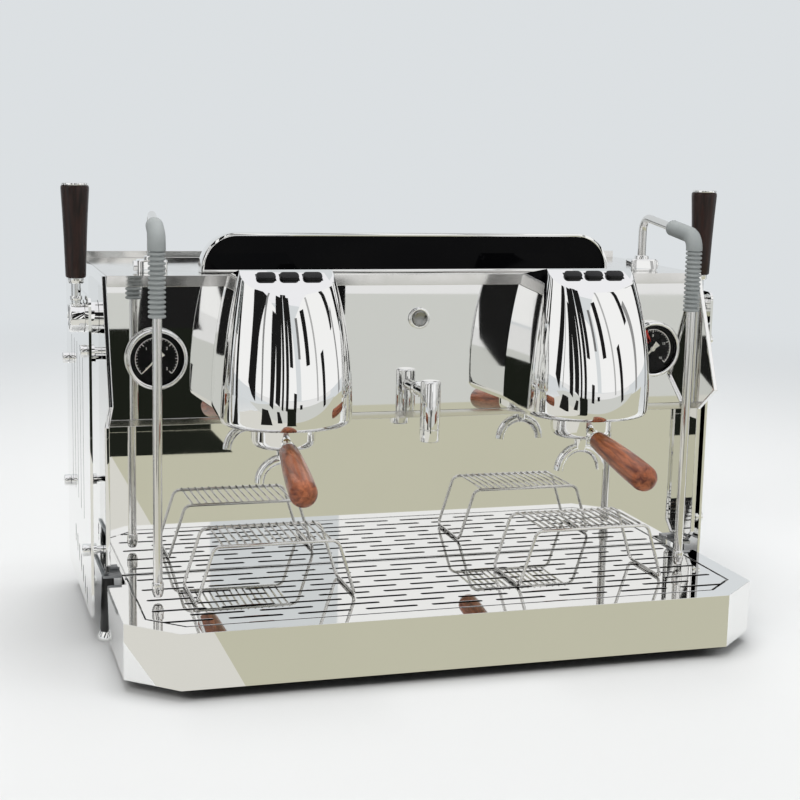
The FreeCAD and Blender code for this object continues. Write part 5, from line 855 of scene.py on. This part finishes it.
droop = math.radians(8)
grain_size = (0.006, 0.05, 0.006)
red_wood = wood(
    "red hardwood", (0.40, 0.125, 0.050), (0.10, 0.026, 0.014), (droop, 0, 0), grain_size, 0.4
)
handle_start = 0.050
handle_level = 0.237
handle_length = 0.1327
handle_thin = 0.0104
handle_thick = 0.0144
swell_length = 0.105
rim_radius = 0.035
spout_reach = 0.026
spout_tip = 0.194
spout_radius = 0.0055
bowl_low = 0.234
neck_start = 0.033
lug_spot = (0.0367, 0, 0.2719)
lug_size = (0.0056, 0.0156, 0.0068)
left_lock = math.radians(-6)
for side, word in SIDES:
    body = word + "_portafilter"
    lock = left_lock if side < 0 else 0
    axis_spot = (side * group_x, group_y, 0)
    rim_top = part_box(body)[1].z
    bowl_profile = [
        (0, bowl_low), (0.0255, bowl_low), (0.0295, bowl_low + 0.0008),
        (0.0325, bowl_low + 0.0026), (0.0342, bowl_low + 0.0054),
        (rim_radius, bowl_low + 0.0095), (rim_radius, rim_top - 0.0006),
        (rim_radius - 0.0006, rim_top), (0.0306, rim_top), (0.0305, bowl_low + 0.009),
        (0, bowl_low + 0.0045),
    ]
    metal = [turned("bowl", bowl_profile, axis_spot, (0, 0, lock), steps=96)]
    for turn in (0, math.pi):
        lug = brick(lug_spot, lug_size)
        round_edges(lug, lambda a, b: True, 0.0008, 2)
        placed(lug, axis_spot, (0, 0, lock + turn))
        metal.append(lug)
    arc = [math.radians(10 * step) for step in range(19)]
    arch = [(math.cos(a) * spout_reach, 0, spout_tip + math.sin(a) * spout_reach) for a in arc]
    spout = bent_tube("spout", arch, spout_radius)
    stem_profile = [
        (0, 0.218), (0.0068, 0.218), (0.0079, 0.2225), (0.0079, bowl_low - 0.003),
        (0.0105, bowl_low - 0.0012), (0.0108, bowl_low + 0.0006), (0, bowl_low + 0.0006),
    ]
    stem = turned("stem", stem_profile, (0, 0, 0), steps=40)
    neck_turn = (math.pi / 2 + droop, 0, 0)
    neck_length = (handle_start - neck_start) / math.cos(droop)
    neck_profile = [
        (0, 0), (0.0082, 0), (0.0072, 0.004), (0.0072, neck_length - 0.0095),
        (0.0084, neck_length - 0.0085), (handle_thin, neck_length - 0.001),
        (handle_thin, neck_length - 0.0002), (0, neck_length - 0.0002),
    ]
    neck_rise = math.tan(droop) * (handle_start - neck_start)
    neck_spot = (0, -neck_start, handle_level + neck_rise)
    neck = turned("neck", neck_profile, neck_spot, neck_turn, steps=48)
    for piece in (spout, stem, neck):
        placed(piece, axis_spot, (0, 0, lock))
    filter_metal = joined(word + "_filter_holder", metal + [spout, stem, neck])
    chromed(filter_metal, body, body)

    swell = []
    for step in range(9):
        bulge = math.sin(step / 8 * math.pi / 2)
        swell.append((handle_thin + (handle_thick - handle_thin) * bulge, step / 8 * swell_length))
    end = handle_length - handle_thick
    swell.append((handle_thick, end))
    dome = [math.radians(9 * step) for step in range(1, 10)]
    swell += [(handle_thick * math.cos(a), end + handle_thick * math.sin(a)) for a in dome]
    handle_spot = (0, -handle_start - 0.0002, handle_level)
    outline = [(0, 0)] + swell + [(0, handle_length)]
    handle = turned(word + "_turned_handle", outline, handle_spot, neck_turn, crease=50)
    placed(handle, axis_spot, (0, 0, lock))
    dress(given_to(handle, body, word + "_filter_handle"), red_wood)

# Pressure gauges.
# Two chromed gauges let into the polished wall: a turned bezel, a black enamelled dial with
# printed marks, a light pointer with a counterweight on its arbor, and a flat glass.

FACING = (math.pi / 2, 0, 0)
enamel_black = surface(
    "black enamel", (0.003, 0.003, 0.004), (0.008, 0.008, 0.008), 0.30, 0.38, 40,
    metal=0, shine=0.15,
)
print_white = surface(
    "white print", (0.95, 0.95, 0.92), (0.88, 0.88, 0.84), 0.45, 0.55, 80, metal=0
)
print_red = surface(
    "red print", (0.75, 0.045, 0.03), (0.62, 0.035, 0.025), 0.45, 0.55, 80, metal=0
)
pointer_paint = surface(
    "pointer paint", (0.82, 0.80, 0.72), (0.70, 0.68, 0.62), 0.35, 0.45, 80, metal=0
)
gauge_x = 0.3006
gauge_z = 0.321
bezel_radius = 0.034
dial_face = -0.00355
scale_start = math.radians(225)
scale_sweep = math.radians(270)


def clear_glass():
    """Plain clear glass."""
    values = {"Base Color": (1, 1, 1, 1), "Transmission Weight": 1, "IOR": 1.12}
    material, tree, shader = new_material("gauge glass", values)
    place = made(tree, "TexCoord")
    haze = made(tree, "TexNoise", {"Scale": 60})
    span = made(tree, "MapRange", {"From Min": 0.4, "To Max": 0.004})
    wire(tree, place, "Object", haze, "Vector")
    wire(tree, haze, "Fac", span, "Value")
    wire(tree, span, "Result", shader, "Roughness")
    return material


def dial_spot(centre, angle, distance, wall_y):
    """A place on a dial, by its angle and distance from the centre."""
    across, rise = math.cos(angle) * distance, math.sin(angle) * distance
    return (centre + across, wall_y, gauge_z + rise)


def flat_mark(centre, angle, distance, length, width, wall_y):
    """A printed stroke that points at the dial's centre."""
    bpy.ops.mesh.primitive_plane_add(size=1, location=(0, 0, 0))
    mark = bpy.context.object
    mark.scale = (length, width, 1)
    settle()
    spot = dial_spot(centre, angle, distance + length / 2, wall_y)
    placed(mark, spot, (math.pi / 2, -angle, 0))
    return mark


def printed_number(words, centre, angle, distance, height, wall_y):
    """A number printed upright on the dial."""
    bpy.ops.object.select_all(action="DESELECT")
    spot = dial_spot(centre, angle, distance, wall_y)
    bpy.ops.object.text_add(location=spot, rotation=FACING)
    number = bpy.context.object
    number.data.body = words
    number.data.size = height
    number.data.align_x = "CENTER"
    number.data.align_y = "CENTER"
    number.data.resolution_u = 3
    bpy.ops.object.convert(target="MESH")
    settle()
    return bpy.context.object


def printed_arc(centre, low_share, high_share, distance, width, wall_y):
    """A printed band that follows the scale."""
    steps = max(4, int((high_share - low_share) * 72))
    pieces = []
    for count in range(steps):
        share = low_share + (high_share - low_share) * (count + 0.5) / steps
        angle = scale_start - scale_sweep * share
        length = scale_sweep * (high_share - low_share) / steps * (distance + width) * 1.04
        mark = flat_mark(centre, angle, distance, width, length, wall_y)
        pieces.append(mark)
    return pieces


mark_plane = dial_face - 0.00006
wedge_plane = mark_plane - 0.00004
wedge_start = 0.0090
wedge_length = 0.0155
mark_radius = 0.0232
number_radius = 0.0160
number_height = 0.0044
for side, word in SIDES:
    middle = side * gauge_x
    whites = []
    strokes = 30 if side < 0 else 32
    for count in range(strokes + 1):
        angle = scale_start - scale_sweep * count / strokes
        main = count % (10 if side < 0 else 8) == 0
        half = count % (5 if side < 0 else 4) == 0
        length = 0.0034 if main else (0.0026 if half else 0.0017)
        width = 0.0008 if main else 0.0005
        whites.append(flat_mark(middle, angle, mark_radius - length, length, width, mark_plane))
    spots = ((0, "0"), (1 / 3, "1"), (2 / 3, "2"), (1, "3"))
    if side > 0:
        spots = ((0, "0"), (0.25, "4"), (0.5, "8"), (0.75, "12"), (1, "16"))
    for share, words in spots:
        angle = scale_start - scale_sweep * share
        number = printed_number(words, middle, angle, number_radius, number_height, mark_plane)
        whites.append(number)
    if side < 0:
        whites += printed_arc(middle, 0, 1, mark_radius, 0.0006, mark_plane)
    else:
        whites += printed_arc(middle, 0.44, 1, mark_radius, 0.0008, mark_plane)
        reds = printed_arc(middle, 0.36, 0.43, wedge_start, wedge_length, wedge_plane)
        dress(given_to(joined(word + "_dial_warning", reds), "machine"), print_red)
    dress(given_to(joined(word + "_dial_marks", whites), "machine"), print_white)

bezels = []
for side in (-1, 1):
    bezel_profile = [
        (0, -0.024), (0.030, -0.024), (0.030, 0.0003), (bezel_radius - 0.0003, 0.0003),
        (bezel_radius, 0.0008), (bezel_radius, 0.0082), (bezel_radius - 0.0003, 0.0094),
        (bezel_radius - 0.0010, 0.0104), (bezel_radius - 0.0020, 0.0109),
        (bezel_radius - 0.0030, 0.0110), (bezel_radius - 0.0040, 0.0107),
        (bezel_radius - 0.0045, 0.0101), (bezel_radius - 0.0045, 0.0098), (0.0315, 0.0098),
        (0.0315, 0.0024), (0, 0.0024),
    ]
    spot = (side * gauge_x, 0, gauge_z)
    bezels.append(turned("bezel", bezel_profile, spot, FACING, steps=96, crease=40))
bezel_pair = joined("chrome_gauge_bezels", bezels)
chromed(bezel_pair, "machine", "gauge_cases")
wear_only("gauge_dials", enamel_black)
wear_only("gauge_lenses", clear_glass())
wear_only("left_gauge_pointer", pointer_paint)
wear_only("right_gauge_pointer", pointer_paint)

# Power switch and hot water spout.
# A push button in a turned chrome ring, and a hot water spout on a short arm through the
# wall, with a fine seam where its aerator screws in.

switch_low, switch_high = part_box("power_button")
switch_spot = ((switch_low.x + switch_high.x) / 2, 0, (switch_low.z + switch_high.z) / 2)
ring_profile = [
    (0.0088, 0.0003), (0.0125, 0.0003), (0.0125, 0.0028), (0.0121, 0.0038), (0.0112, 0.0044),
    (0.0104, 0.0045), (0.0096, 0.0043), (0.0088, 0.0037), (0.0088, 0.0003),
]
ring = turned("chrome_switch_ring", ring_profile, switch_spot, FACING)
behind_profile = [
    (0, -0.0218), (0.0125, -0.0218), (0.0125, -0.0018), (0.0089, -0.0018), (0.0089, -0.0143),
    (0, -0.0143),
]
behind = turned("switch_body", behind_profile, switch_spot, FACING, steps=48)
switch_metal = joined("power_switch_ring", [ring, behind])
chromed(switch_metal, "machine", "power_switch")
button_profile = [
    (0, -0.0113), (0.0086, -0.0113), (0.0086, 0.0052), (0.0083, 0.0060), (0.0076, 0.0065),
    (0.0066, 0.0063), (0.0050, 0.0059), (0.0026, 0.0057), (0, 0.0056),
]
button = turned("power_push_button", button_profile, switch_spot, FACING)
shaded_steel = surface("shaded steel", (0.30, 0.30, 0.29), (0.22, 0.22, 0.21), 0.12, 0.22, patch=30)
dress(given_to(button, "power_button", "power_button"), shaded_steel)

water_low, water_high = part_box("water_spout")
water_radius = 0.0115
spout_x = 0.004
water_spot = (spout_x, -0.048, 0)
tube_profile = [
    (0.0089, 0.2395), (0.0089, water_low.z + 0.0004), (0.0094, water_low.z),
    (0.0104, water_low.z), (0.0112, water_low.z + 0.0005), (water_radius, water_low.z + 0.0016),
    (water_radius, 0.2396), (0.0110, 0.2398), (0.0108, 0.2402), (0.0108, 0.2407),
    (0.0110, 0.2411), (water_radius, 0.2413), (water_radius, water_high.z - 0.0026),
    (0.0111, water_high.z - 0.0012), (0.0102, water_high.z - 0.0003), (0.0090, water_high.z),
    (0, water_high.z),
]
tube = turned("spout_tube", [(0, 0.2395)] + tube_profile, water_spot)
arm_level = 0.279
arm_profile = [(0, -0.012), (0.0065, -0.012), (0.0065, 0.048), (0, 0.048)]
arm = turned("spout_arm", arm_profile, (spout_x, 0, arm_level), FACING, steps=48)
collar_profile = [
    (0, 0.0003), (0.0090, 0.0003), (0.0090, 0.0026), (0.0086, 0.0036), (0.0077, 0.0042),
    (0, 0.0042),
]
collar = turned("spout_collar", collar_profile, (spout_x, 0, arm_level), FACING, steps=48)
nut_spot = (spout_x, 0.0046, arm_level)
spout_nut = bar(6, 0.011, 0.0055, nut_spot, FACING)
settle()
round_edges(spout_nut, lambda a, b: True, 0.0005, 2)
water_spout = joined("hot_water_spout", [tube, arm, collar, spout_nut])
chromed(water_spout, "machine", "water_spout")

# Steam valves and levers.
# Each valve's collar stands on its side panel. The lever's hub turns on it and carries a
# stem with a dark wenge handle, turned to a taper, under a chromed cap.

wear_only("steam_valves", mirror)
fine_grain = (0.004, 0.004, 0.04)
dark_wood = wood(
    "dark hardwood", (0.030, 0.012, 0.009), (0.009, 0.005, 0.004), (0, 0, 0), fine_grain, 0.2
)
lever_y = 0.041
lever_z = 0.363
lever_out = 0.383
hub_inner = 0.370
hub_outer = 0.392
wood_low = 0.407
wood_high = 0.5085
for side, word in SIDES:
    body = word + "_steam_lever"
    sideways = (0, side * math.pi / 2, 0)
    hub_length = hub_outer - hub_inner
    hub_profile = [
        (0, 0), (0.0160, 0), (0.0165, 0.0005), (0.0165, hub_length - 0.0030),
        (0.0160, hub_length - 0.0013), (0.0150, hub_length - 0.0004), (0.0138, hub_length),
        (0.0060, hub_length), (0.0056, hub_length - 0.0008), (0, hub_length - 0.0010),
    ]
    hub_spot = (side * hub_inner, lever_y, lever_z)
    lever_spot = (side * lever_out, lever_y, 0)
    hub = turned("hub", hub_profile, hub_spot, sideways)
    spindle_profile = [(0, -0.0095), (0.005, -0.0095), (0.005, 0.001), (0, 0.001)]
    spindle = turned("spindle", spindle_profile, hub_spot, sideways, steps=32)
    stem_profile = [
        (0, lever_z), (0.0052, lever_z), (0.0052, lever_z + 0.019), (0.0063, lever_z + 0.0193),
        (0.0067, lever_z + 0.0200), (0.0067, lever_z + 0.0232), (0.0063, lever_z + 0.0240),
        (0.0052, lever_z + 0.0243), (0.0052, wood_low - 0.0065), (0.0080, wood_low - 0.0060),
        (0.0086, wood_low - 0.0050), (0.0086, wood_low - 0.0003), (0, wood_low - 0.0003),
    ]
    stem = turned("stem", stem_profile, lever_spot, steps=48)
    cap_profile = [
        (0, wood_high - 0.012), (0.003, wood_high - 0.012), (0.003, wood_high + 0.0003),
        (0.0144, wood_high + 0.0003), (0.0147, wood_high + 0.0010), (0.0144, wood_high + 0.0022),
        (0.0134, wood_high + 0.0030), (0.0110, wood_high + 0.0033), (0, wood_high + 0.0033),
    ]
    cap = turned("cap", cap_profile, lever_spot)
    lever = joined(word + "_lever_metal", [hub, spindle, stem, cap])
    chromed(lever, body, body)
    grip_profile = [
        (0, wood_low), (0.0094, wood_low), (0.0106, wood_low + 0.0006),
        (0.0112, wood_low + 0.0020), (0.0118, wood_low + 0.020), (0.0127, wood_low + 0.045),
        (0.0139, wood_low + 0.070), (0.0152, wood_low + 0.092), (0.0155, wood_high - 0.0040),
        (0.0154, wood_high - 0.0018), (0.0149, wood_high - 0.0006), (0.0140, wood_high),
        (0, wood_high),
    ]
    grip = turned(word + "_wood_lever_handle", grip_profile, lever_spot, crease=25)
    dress(given_to(grip, body, word + "_lever_handle"), dark_wood)

# Steam wands.
# A swivel block with a side nut stands on the top over each valve. The polished wand rises
# from it, runs forward and drops beside the tray, with a grey rubber grip round its bend.

grey_rubber = surface(
    "grey rubber", (0.25, 0.27, 0.27), (0.33, 0.35, 0.35), 0.62, 0.78, 30, metal=0, relief=0.2
)
wand_x = 0.300
wand_y = 0.037
wand_reach = 0.1316
crest = 0.479
wand_foot = 0.4047
run_fall = math.radians(7)
run_end = crest - wand_reach * math.tan(run_fall)
wand_bend = 0.016
nozzle_top = 0.093
grip_low = 0.377
grip_start = 0.078
grip_radius = 0.0094
rib_pitch = 0.005
rib_count = 14
fitting_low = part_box("wand_fittings")[0]
blocks = []
for side, word, turn in ((-1, "left", 5.7), (1, "right", 1.0)):
    base = fitting_low.z
    spot = Vector((side * wand_x, wand_y, base + 0.007))
    block = brick(spot, (0.034, 0.0238, 0.014))
    round_edges(block, lambda a, b: abs(a.z - b.z) > 0.01, 0.0056, 8)
    round_edges(block, lambda a, b: min(a.z, b.z) > base + 0.0139, 0.0022, 5)
    soften(35)
    neck_profile = [
        (0.0051, base), (0.0088, base), (0.0088, base + 0.0160), (0.0084, base + 0.0174),
        (0.0074, base + 0.0181), (0.0051, base + 0.0182), (0.0051, base),
    ]
    collar = turned("collar", neck_profile, (side * wand_x, wand_y, 0), steps=48)
    nut_spot = (side * (wand_x + 0.0172), wand_y, base + 0.007)
    nut = bar(6, 0.0063, 0.0066, nut_spot, (0, math.pi / 2, 0))
    settle()
    round_edges(nut, lambda a, b: True, 0.0006, 2)
    blocks += [block, collar, nut]

    body = word + "_steam_wand"
    path = [(0, 0, wand_foot), (0, 0, crest), (0, -wand_reach, run_end)]
    path.append((0, -wand_reach, nozzle_top - 0.001))
    tube = bent_tube("wand_tube", rounded(path, (wand_bend, wand_bend)), 0.005)
    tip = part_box(body)[0].z
    nozzle_profile = [
        (0, tip), (0.0028, tip), (0.0042, tip + 0.0006), (0.0050, tip + 0.0020),
        (0.0063, tip + 0.0058), (0.0063, nozzle_top - 0.0018), (0.0060, nozzle_top - 0.0008),
        (0.0050, nozzle_top), (0, nozzle_top),
    ]
    nozzle = turned("nozzle", nozzle_profile, (0, -wand_reach, 0), steps=48)
    wand = joined(word + "_polished_wand", [tube, nozzle])
    swing = (0, 0, side * math.radians(turn))
    placed(wand, (side * wand_x, wand_y, 0), swing)
    dress(given_to(wand, body, body), steel)

    ribs_top = grip_low + rib_pitch * rib_count
    sleeve_start = (0, -grip_start * math.cos(run_fall), crest - grip_start * math.sin(run_fall))
    sleeve_path = [sleeve_start, (0, -wand_reach, run_end), (0, -wand_reach, ribs_top)]
    sleeve = bent_tube("sleeve", rounded(sleeve_path, (wand_bend,)), grip_radius, sides=7)
    rib_profile = [(0, grip_low)]
    for count in range(rib_count):
        foot = grip_low + rib_pitch * count
        rib_profile += [
            (0.0072, foot + 0.0001), (0.0086, foot + 0.0003), (0.0092, foot + 0.0009),
            (grip_radius, foot + 0.0017), (0.0092, foot + 0.0026), (0.0086, foot + 0.0033),
            (0.0074, foot + 0.0038), (0.0071, foot + 0.0042),
        ]
    rib_profile += [(0.0071, ribs_top), (0, ribs_top)]
    ribs = turned("ribs", rib_profile, (0, -wand_reach, 0), steps=48, crease=60)
    rubber = joined(word + "_ribbed_grip", [sleeve, ribs])
    placed(rubber, (side * wand_x, wand_y, 0), swing)
    dress(given_to(rubber, body, word + "_wand_grip"), grey_rubber)
wand_blocks = joined("chrome_wand_blocks", blocks)
chromed(wand_blocks, "machine", "wand_fittings")

# Cup stands.
# Two loose stands of bright steel wire on the grate. One closed frame wire makes both legs
# and both rails, and fifteen thinner wires are welded across it.

frame_wire = 0.0018
cross_wire = 0.0012
stand_bend = 0.007
half_depth = 0.041
foot_half = 0.089 - frame_wire
splay = math.tan(math.radians(17.4))
stand_floor = 0.0741
stand_deck = 0.1363
rail_half = foot_half - (stand_deck - stand_floor) * splay
for word, centre_x, centre_y in (("left", -0.190, -0.0845), ("right", 0.1735, -0.093)):
    half_loop = [
        (0, -half_depth, stand_deck), (-rail_half, -half_depth, stand_deck),
        (-foot_half, -half_depth, stand_floor), (-foot_half, half_depth, stand_floor),
        (-rail_half, half_depth, stand_deck), (0, half_depth, stand_deck),
    ]
    other_half = [(-x, y, z) for x, y, z in reversed(half_loop[1:-1])]
    profile_path(half_loop + other_half + [half_loop[0]])
    select_mesh()
    bpy.ops.mesh.remove_doubles(threshold=0.00001)
    bpy.ops.mesh.bevel(offset=stand_bend, affect="VERTICES", segments=8, offset_type="OFFSET")
    object_mode()
    wires = [swept(frame_wire, 3, False)]
    bpy.ops.object.shade_smooth()
    wire_pitch = rail_half * 2 / 16
    for count in range(15):
        x = wire_pitch * (count + 1) - rail_half
        spot = (x, 0, stand_deck + frame_wire)
        rod = bar(12, cross_wire, half_depth * 2, spot, FACING)
        settle()
        round_edges(rod, lambda a, b: abs(a.y - b.y) < 0.0001, 0.0005, 2)
        soften(50)
        wires.append(rod)
    stand = joined(word + "_wire_stand", wires)
    placed(stand, (centre_x, centre_y, 0))
    dress(given_to(stand, word + "_cup_stand", word + "_cup_stand"), steel)

# Floor, lights and camera.
# A plain pale floor that fades into the pale air, soft lamps, and cards that only polished
# metal and glass show: warm ground in front, dark uprights and bright ones between them.


def stage_sheet(name, size, spot, turn, colour, glow=1.0, only_shine=True):
    """A flat card or floor of the studio."""
    bpy.ops.mesh.primitive_plane_add(size=1, location=spot, rotation=turn)
    card = bpy.context.object
    card.name = name
    card.scale = (size[0], size[1], 1)
    values = {
        "Base Color": (0, 0, 0, 1) if only_shine else (*colour, 1), "Roughness": 0.9,
        "Specular IOR Level": 0 if only_shine else 0.1, "Emission Color": (*colour, 1),
        "Emission Strength": glow,
    }
    card.data.materials.append(new_material(name, values)[0])
    card.visible_camera = not only_shine
    card.visible_diffuse = not only_shine
    card.visible_shadow = not only_shine
    return card


AIR = (0.715, 0.745, 0.765)
FLAT = (0, 0, 0)
STONE = (0.72, 0.73, 0.735)
floor = stage_sheet("studio_floor", (16, 16), (0, 0, -0.0002), FLAT, STONE, 0, False)
tree = floor.data.materials[0].node_tree
floor_spot = made(tree, "TexCoord")
distance = made(tree, "VectorMath", operation="LENGTH")
values = {"From Min": 0.045, "From Max": 0.20}
fade = made(tree, "MapRange", values, interpolation_type="SMOOTHSTEP")
air_glow = made(tree, "Emission", {"Color": (*AIR, 1)})
floor_blend = made(tree, "MixShader")
wire(tree, floor_spot, "Object", distance, 0)
wire(tree, distance, "Value", fade, "Value")
wire(tree, fade, "Result", floor_blend, 0)
wire(tree, tree.nodes["Principled BSDF"], 0, floor_blend, 1)
wire(tree, air_glow, 0, floor_blend, 2)
wire(tree, floor_blend, 0, tree.nodes["Material Output"], 0)

flag = stage_sheet("flag_under_tray", (0.60, 0.065), (0, -0.1795, 0.007), FLAT, (0, 0, 0), 0)
flag.visible_diffuse = True
flag.visible_shadow = True
flag.visible_glossy = False

for name, size, spot, turn, colour in (
    ("ceiling_card", (7, 7), (0, -0.6, 4.4), FLAT, (0.92, 0.92, 0.95)),
    ("warm_ground_card", (3.475, 1.24), (1.5025, -0.82, 0.001), FLAT, (0.56, 0.55, 0.43)),
    ("left_ground_card", (1.4, 1.24), (-0.935, -0.82, 0.001), FLAT, (0.73, 0.72, 0.67)),
    ("far_ground_card", (6.0, 2.76), (0.6, -2.82, 0.001), FLAT, (0.64, 0.65, 0.62)),
    ("low_dark_card", (0.25, 0.20), (-0.145, -1.20, 0.102), FACING, (0.012, 0.014, 0.010)),
    ("near_dark_card", (0.25, 0.22), (-0.145, -1.09, 0.0015), FLAT, (0.014, 0.016, 0.012)),
    ("far_dark_card", (0.16, 0.10), (0.48, -2.40, 0.13), FACING, (0.006, 0.006, 0.006)),
):
    stage_sheet(name, size, spot, turn, colour)

# Dark strips on the ground: bearing, width, nearer and farther end.
ground_strips = (
    (-39, 0.36, 1.25, 2.6),
    (-21, 0.16, 1.45, 2.6),
    (-92, 0.26, 0.8, 2.6),
    (-118, 0.34, 0.8, 2.6),
    (101, 0.12, 0.8, 2.6),
    (118, 0.30, 0.8, 2.6),
)
for number, (bearing, width, start, end) in enumerate(ground_strips):
    angle = math.radians(bearing)
    middle = (start + end) / 2
    spot = (math.sin(angle) * middle, -math.cos(angle) * middle, 0.0018)
    name = "ground_strip_" + str(number + 1)
    stage_sheet(name, (width, end - start), spot, (0, 0, angle), (0.014, 0.014, 0.013))

# Uprights round the machine, which lean in a little as they rise: bearing from its front
# towards its right, width in degrees, lower and upper edge, and the tone of each.
DARK = 0.012
PALE = 0.97
WALL_SPREAD = 60
uprights = (
    (-52, 130, 0.25, 4.2, PALE),
    (64, 100, 0.25, 4.2, PALE),
    (6, 110, 0.07, 0.25, 0.84),
    (-134, 7, 0.0, 2.2, DARK),
    (-118, 10, 0.0, 2.6, DARK),
    (-104, 5, 0.0, 3.2, DARK),
    (-92, 7, 0.0, 3.2, DARK),
    (-39, 13, 0.0, 3.6, DARK),
    (-28, 1.6, 0.0, 3.6, 0.25),
    (-21, 5, 0.0, 2.6, DARK),
    (-12.5, 6, 0.1, 3.3, DARK),
    (-7, 2.6, 0.0, 3.6, DARK),
    (-2.5, 3.5, 0.0, 3.5, DARK),
    (3, 4, 1.05, 3.2, DARK),
    (3, 4, 0.0, 0.45, DARK),
    (12, 3, 1.25, 2.4, 0.18),
    (22, 5, 1.05, 2.6, DARK),
    (33, 2, 0.17, 3.0, 0.45),
    (46, 4, 0.0, 1.2, DARK),
    (52, 3, 1.4, 2.9, DARK),
    (66, 3, 0.0, 2.0, 0.3),
    (86, 8, 0.0, 3.0, DARK),
    (101, 4, 0.0, 3.0, DARK),
    (118, 9, 0.0, 2.4, DARK),
    (-160, 10, 0.0, 0.3, 0.05),
)
for number, (bearing, spread, low, high, tone) in enumerate(uprights):
    angle = math.radians(bearing)
    away = 3.1 if spread > WALL_SPREAD else 2.6
    lean = math.radians((bearing - 17) * 0.5)
    if spread > WALL_SPREAD or abs(bearing) > 90:
        lean = 0
    spot = (math.sin(angle) * away, -math.cos(angle) * away, (low + high) / 2)
    width = 2 * away * math.tan(math.radians(min(spread, 120) / 2))
    turn = Matrix.Rotation(angle, 3, "Z") @ Matrix.Rotation(math.pi / 2, 3, "X")
    turn = (turn @ Matrix.Rotation(lean, 3, "Z")).to_euler()
    name = "upright_" + str(number + 1)
    stage_sheet(name, (width, high - low), spot, turn, (tone, tone, tone))


def soft_lamp(name, place, aim, width, height, power, colour):
    """A soft box aimed at a point, which polished metal doesn't show."""
    lamp_data = bpy.data.lights.new(name, "AREA")
    lamp_data.shape = "RECTANGLE"
    lamp_data.size = width
    lamp_data.size_y = height
    lamp_data.energy = power
    lamp_data.color = colour
    lamp = bpy.data.objects.new(name, lamp_data)
    lamp.location = place
    away = Vector(place) - Vector(aim)
    lamp.rotation_euler = away.to_track_quat("Z", "Y").to_euler()
    lamp.visible_glossy = False
    bpy.context.scene.collection.objects.link(lamp)


soft_lamp("key_lamp", (-1.6, -2.2, 2.3), (0, 0, 0.25), 1.6, 1.2, 36, (1.0, 0.98, 0.95))
soft_lamp("fill_lamp", (2.0, -1.6, 1.5), (0, 0, 0.25), 1.2, 1.2, 12, (0.96, 0.98, 1.0))
soft_lamp("top_lamp", (0, 0.2, 2.6), (0, 0, 0.3), 2.2, 1.4, 44, (1.0, 1.0, 1.0))
soft_lamp("back_lamp", (0.6, 2.2, 1.6), (0, 0, 0.3), 1.6, 1.2, 18, (1.0, 1.0, 1.0))

world = bpy.data.worlds.new("studio_air")
world.use_nodes = True
bpy.context.scene.world = world
tree = world.node_tree
air = set_inputs(tree.nodes["Background"], {"Color": (0.86, 0.86, 0.85, 1), "Strength": 0.50})
seen_air = made(tree, "Background", {"Color": (*AIR, 1), "Strength": 1})
rays = made(tree, "LightPath")
first = made(tree, "Math", operation="MAXIMUM")
either = made(tree, "Math", operation="MAXIMUM")
air_blend = made(tree, "MixShader")
wire(tree, rays, "Is Camera Ray", first, 0)
wire(tree, rays, "Is Glossy Ray", first, 1)
wire(tree, first, 0, either, 0)
wire(tree, rays, "Is Transmission Ray", either, 1)
wire(tree, either, 0, air_blend, 0)
wire(tree, air, 0, air_blend, 1)
wire(tree, seen_air, 0, air_blend, 2)
wire(tree, air_blend, 0, tree.nodes["World Output"], 0)

view_spot = (-0.5476, -1.7185, 0.5725)
view_yaw = math.radians(17.145)
view_pitch = math.radians(-9.664)
view_roll = math.radians(1.298)
camera_data = bpy.data.cameras.new("photo_view")
camera_data.lens = 70.536
camera_data.sensor_width = 36
camera = bpy.data.objects.new("photo_view", camera_data)
bpy.context.scene.collection.objects.link(camera)
heading = Matrix.Rotation(-view_yaw, 4, "Z")
tilt = Matrix.Rotation(math.pi / 2 + view_pitch, 4, "X")
roll = Matrix.Rotation(view_roll, 4, "Z")
camera.matrix_world = Matrix.Translation(view_spot) @ heading @ tilt @ roll
bpy.context.scene.camera = camera
bpy.context.scene.view_settings.view_transform = "Standard"
